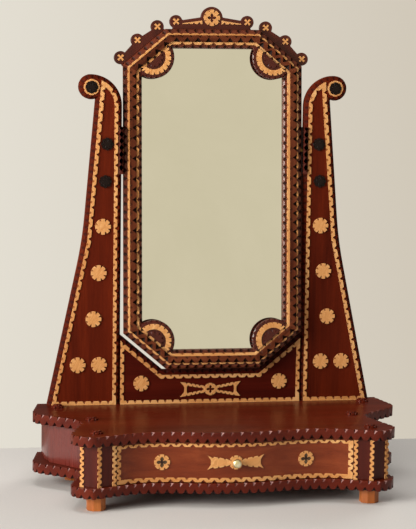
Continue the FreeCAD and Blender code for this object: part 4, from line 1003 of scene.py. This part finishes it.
bm = newCarving()
ribbonLoops = [ribbonLoop(0.0, ribbonSpec["below"]),
               ribbonLoop(ribbonSpec["width"], ribbonSpec["width"])[::-1]]
carve(bm, [chipSpots(loop, forward, ribbonStyle) for loop in ribbonLoops], forward, ribbonSpec["proud"])
drape(bm)
dress("drawer_inlay", bm, woods["lightWood"], bevel=inlayBevel)

bm = newCarving()
low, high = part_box("drawer_rosettes")
for side in (-1, 1):
    middle = Vector((side * (high.x - (high.z - low.z) / 2), 0, (low.z + high.z) / 2))
    carveDisc(bm, middle, forward, rosetteSpec["drawer"])
drape(bm)
dress("drawer_rosettes", bm, woods["lightWood"], bevel=inlayBevel)

# bows: each wing is drawn above its middle line and turned over below it
bowSpec = {
    "drawer_bow": {
        "wing": [(6.0, 0.0), (8.5, 3.2), (13.6, 5.2), (15.2, 3.4), (16.8, 5.7), (22.0, 7.0), (23.6, 4.8),
                 (25.2, 7.1), (29.8, 8.0), (31.2, 6.2), (38.6, 9.8), (34.2, 3.2), (34.2, 0.0)],
        "eye": {"radius": 9.6 * mm, "notches": 8, "gape": 0.3, "bite": 2.2 * mm, "through": 0.9,
                "thick": 2.0 * mm}},
    "lower_panel_bow": {
        "wing": [(7.0, 0.0), (8.2, 3.6), (10.4, 5.2), (14.0, 6.0), (15.6, 4.2), (17.2, 6.4), (20.2, 7.2),
                 (21.8, 5.4), (23.4, 7.8), (26.4, 8.5), (28.0, 6.7), (29.6, 9.0), (33.0, 9.5), (34.6, 7.8),
                 (36.2, 9.9), (44.0, 10.8), (39.2, 5.0), (38.0, 3.0), (38.0, 0.0)],
        "opening": [(9.9, 0.0), (10.6, 1.4), (12.4, 1.8), (13.6, 3.8), (14.8, 2.0), (18.6, 2.8), (19.8, 5.0),
                    (21.0, 3.0), (24.8, 3.8), (26.0, 6.0), (27.2, 4.0), (31.4, 5.0), (32.6, 6.6), (34.2, 4.6),
                    (34.6, 3.0), (34.6, 0.0)],
        "eye": {"radius": 9.0 * mm, "notches": 8, "gape": 0.24, "bite": 1.6 * mm, "through": 0.9,
                "thick": 2.0 * mm, "petal": 6.2 * mm, "petalWide": 4.2 * mm}},
}
bowProud = 1.6 * mm


def wingOutline(wing, centre):
    upper = [Vector((centre.x + x * mm, centre.y - bowProud, centre.z + z * mm)) for x, z in wing]
    lower = [Vector((spot.x, spot.y, 2 * centre.z - spot.z)) for spot in reversed(upper)
             if spot.z > centre.z + mergeGap]
    return upper + lower


def carveBow(spec, centre):
    bm = newCarving()
    for side in (-1, 1):
        outlines = []
        for part in [name for name in ("wing", "opening") if name in spec]:
            loop = wingOutline([(side * x, z) for x, z in spec[part]], centre)
            if (side == 1) == (part == "wing"):
                loop.reverse()
            outlines.append(plainSpots(loop, forward))
        carve(bm, outlines, forward, bowProud)
    carveDisc(bm, centre, forward, spec["eye"])
    return bm


low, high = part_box("drawer_bow")
bm = carveBow(bowSpec["drawer_bow"], Vector((0, 0, (low.z + high.z) / 2)))
drape(bm)
dress("drawer_bow", bm, woods["lightWood"], bevel=inlayBevel)
dress("drawer_front", copyNode("drawer_front", right, up), woods["drawerWood"], bevel=0.5 * mm)
print("drawer front dressed")

low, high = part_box("lower_panel_bow")
bm = carveBow(bowSpec["lower_panel_bow"], Vector((0, high.y, (low.z + high.z) / 2)))
dress("lower_panel_bow", bm, woods["lightWood"], bevel=inlayBevel)

# zigzag strips on the corner posts, the notches of one edge half a step on from the other's
postStripSpec = {"pitch": 7.6 * mm, "gape": 0.64, "bite": 3.1 * mm, "through": 0.9, "proud": 1.6 * mm,
                 "lit": {"bite": 2.8 * mm, "through": 0.5, "fill": 0.9}}
shiftedSpec = dict(postStripSpec, shift=0.5)
bm = newCarving()
for way in facingsOf("post_strips", lambda face: face.area > 100e-6 and face.normal.y < 0):
    sideways = up.cross(way)
    for loop in faceLoops("post_strips", way):
        loop = lifted(loop, way, postStripSpec["proud"] - cadProud)
        spots = chipSpots(loop, way, lambda run: None if abs(run["outward"].z) > 0.5
                          else postStripSpec if run["outward"].dot(sideways) > 0 else shiftedSpec)
        carve(bm, [spots], way, postStripSpec["proud"])
dress("post_strips", bm, woods["lightWood"], bevel=inlayBevel)
print("bows and post strips laid")

# plain-sawn pieces: bevelled copies of their solids, with the way of their grain
copySpec = [
    ("caseWood", up, 0.6 * mm, ["left_case_side", "right_case_side"]),
    ("postWood", up, 0.5 * mm, ["left_corner_post", "right_corner_post"]),
    ("plainWood", right, 0.5 * mm, ["case_back"]),
    ("footWood", up, 0.8 * mm, ["left_front_foot", "right_front_foot", "left_rear_foot", "right_rear_foot"]),
    ("blackWood", up, 0.6 * mm, ["left_pivot_block", "right_pivot_block"]),
    ("plainWood", forward, 0.5 * mm, ["drawer_left_side", "drawer_right_side"]),
    ("plainWood", right, 0.5 * mm, ["drawer_back"]),
    ("plainWood", right, 0.3 * mm, ["drawer_bottom"]),
    ("plainWood", up, 0.4 * mm, ["backing_board", "backing_fillets"]),
]
for finish, along, bevel, nodes in copySpec:
    for node in nodes:
        dress(node, copyNode(node, along, forward if along is right else right), woods[finish], bevel=bevel)
print("plain pieces copied")

# carved bars on the pivot blocks
barSpec = {"pitch": 9.6 * mm, "gape": 0.8, "bite": 3.4 * mm, "slope": 0.6 * mm, "proud": 2.6 * mm,
           "shortest": 40 * mm}
bm = newCarving()
for node in ("left_pivot_block", "right_pivot_block"):
    loop = lifted(outlineOf(node, forward), forward, barSpec["proud"])
    spots = chipSpots(loop, forward, lambda run: barSpec if run["length"] > barSpec["shortest"] else None)
    carve(bm, [spots], forward, barSpec["proud"], along=up)
addPiece("pivotBars", bm, woods["crestWood"], "stand", "black_wood")

# pieces whose solids are right as they are
for node, finish in (("left_drawer_guide", woods["hiddenWood"]), ("right_drawer_guide", woods["hiddenWood"]),
                     ("drawer_stops", woods["hiddenWood"]), ("upright_dowels", woods["hiddenWood"]),
                     ("pivot_pins", metals["pinSteel"]), ("pivot_bushes", metals["bushBrass"]),
                     ("mirror_glass", metals["silvering"])):
    data = frame["nodes"][node].data
    data.materials.clear()
    data.materials.append(finish)

# turned brass knob: distances from its axis and from its root, in millimetres
knobSpec = {"profile": [(0.0, 13.0), (3.6, 12.6), (5.4, 11.2), (6.2, 9.0), (5.6, 7.2), (4.0, 5.6), (3.2, 4.2),
                        (3.3, 2.8), (3.9, 1.6), (3.9, 0.0), (0.0, 0.0)], "steps": 48}
low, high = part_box("drawer_knob")
knobRoot = Vector((0, low.y + knobSpec["profile"][0][1] * mm, (low.z + high.z) / 2))
bm = newCarving()
ring = [bm.verts.new(knobRoot + Vector((far * mm, -out * mm, 0))) for far, out in knobSpec["profile"]]
edges = [bm.edges.new(pair) for pair in zip(ring, ring[1:])]
bmesh.ops.spin(bm, geom=ring + edges, cent=knobRoot, axis=forward, angle=math.tau, steps=knobSpec["steps"],
               use_merge=True)
bmesh.ops.remove_doubles(bm, verts=bm.verts, dist=mergeGap)
layGrain(bm, up, forward)
dress("drawer_knob", bm, metals["knobBrass"], bevel=0.2 * mm)
print("knob turned")

# floor, light and world
# the backdrop seen behind the object is painted lighter on the left and darker on the right, a painted fall of
# light
stageSpec = {"floor": (214, 209, 203), "floorSize": 3.0, "floorBack": 0.29, "floorSpeck": 420.0,
             "floorShade": 0.93, "floorRough": 0.85,
             "wallLeft": (229, 224, 212), "wallRight": (206, 197, 181), "wallTurn": (0.05, 0.3),
             "shine": [(0.12, (96, 88, 80)), (0.5, (150, 142, 125)), (0.78, (222, 213, 184))],
             "shineWay": (-0.6, -0.8, 0.0), "ambient": (1.0, 0.98, 0.95, 1), "ambientStrength": 0.15}
lampTarget = (0, 0, 0.3)
lampSpec = [
    ("keyLamp", (-2.3, -1.3, 0.95), (1.2, 1.3), 94.0, (1.0, 0.98, 0.95)),
    ("fillLamp", (-0.9, -2.6, 2.3), (1.4, 1.2), 9.0, (1.0, 0.99, 0.97)),
    ("topLamp", (-0.3, -0.5, 2.3), (1.4, 1.0), 18.0, (1.0, 1.0, 1.0)),
    ("backLamp", (1.6, 1.9, 1.4), (1.6, 1.4), 34.0, (1.0, 0.99, 0.97)),
]


def addFloor(spec):
    bm = bmesh.new()
    bmesh.ops.create_grid(bm, x_segments=2, y_segments=2, size=spec["floorSize"])
    for vert in bm.verts:
        vert.co.y = vert.co.y if vert.co.y < 1 else spec["floorBack"]
    mesh = bpy.data.meshes.new("floor")
    bm.to_mesh(mesh)
    bm.free()
    finish, tree, shader = newFinish("floorMatt")
    place = addNode(tree, "TexCoord").outputs["Object"]
    speck = stretchedNoise(tree, place, (spec["floorSpeck"],) * 3, 3.0, 0.0)
    tone = paint(*spec["floor"])
    shade = [channel * spec["floorShade"] for channel in tone[:3]] + tone[3:]
    tree.links.new(ramp(tree, speck, [(0.3, shade), (0.7, tone)]), shader.inputs["Base Color"])
    shader.inputs["Roughness"].default_value = spec["floorRough"]
    mesh.materials.append(finish)
    floor = bpy.data.objects.new("floor", mesh)
    scene.collection.objects.link(floor)


def addLamp(name, spot, size, energy, colour):
    data = bpy.data.lights.new(name, "AREA")
    data.shape = "RECTANGLE"
    data.size, data.size_y = size
    data.energy = energy
    data.color = colour
    lamp = bpy.data.objects.new(name, data)
    lamp.location = spot
    lamp.rotation_euler = (Vector(lampTarget) - Vector(spot)).to_track_quat("-Z", "Y").to_euler()
    lamp.visible_glossy = name == "keyLamp"  # the glass mirrors no other lamp
    scene.collection.objects.link(lamp)


def addWorld(spec):
    world = bpy.data.worlds.new("studio")
    world.use_nodes = True
    tree = world.node_tree
    lit = tree.nodes["Background"]  # one background lights the object, one shines in it, one is seen behind it
    lit.inputs["Color"].default_value = spec["ambient"]
    lit.inputs["Strength"].default_value = spec["ambientStrength"]
    shone, seen = addNode(tree, "Background"), addNode(tree, "Background")
    place = addNode(tree, "TexCoord").outputs["Generated"]
    towards = addNode(tree, "VectorMath")  # how far a direction looks to the left and the front
    towards.operation = "DOT_PRODUCT"
    towards.inputs[1].default_value = spec["shineWay"]
    split = addNode(tree, "SeparateXYZ")
    room = ramp(tree, remap(tree, towards.outputs["Value"], (-1.0, 1.0), (0.0, 1.0)),
                [(far, paint(*tone)) for far, tone in spec["shine"]])
    # painted fall of light on the backdrop, left to right
    wall = ramp(tree, remap(tree, split.outputs["X"], spec["wallTurn"], (0.0, 1.0)),
                [(0.0, paint(*spec["wallLeft"])), (1.0, paint(*spec["wallRight"]))])
    rays = addNode(tree, "LightPath")
    either = addNode(tree, "Math")
    either.operation = "MAXIMUM"
    mixGlossy, mixCamera = addNode(tree, "MixShader"), addNode(tree, "MixShader")
    for source, socket in (
            (place, towards.inputs[0]), (place, split.inputs[0]),
            (room, shone.inputs["Color"]), (wall, seen.inputs["Color"]),
            (rays.outputs["Is Glossy Ray"], either.inputs[0]),
            (rays.outputs["Is Transmission Ray"], either.inputs[1]),
            (either.outputs[0], mixGlossy.inputs[0]), (lit.outputs[0], mixGlossy.inputs[1]),
            (shone.outputs[0], mixGlossy.inputs[2]), (rays.outputs["Is Camera Ray"], mixCamera.inputs[0]),
            (mixGlossy.outputs[0], mixCamera.inputs[1]), (seen.outputs[0], mixCamera.inputs[2]),
            (mixCamera.outputs[0], tree.nodes["World Output"].inputs["Surface"])):
        tree.links.new(source, socket)
    scene.world = world


addFloor(stageSpec)
for lamp in lampSpec:
    addLamp(*lamp)
addWorld(stageSpec)
print("stage lit")
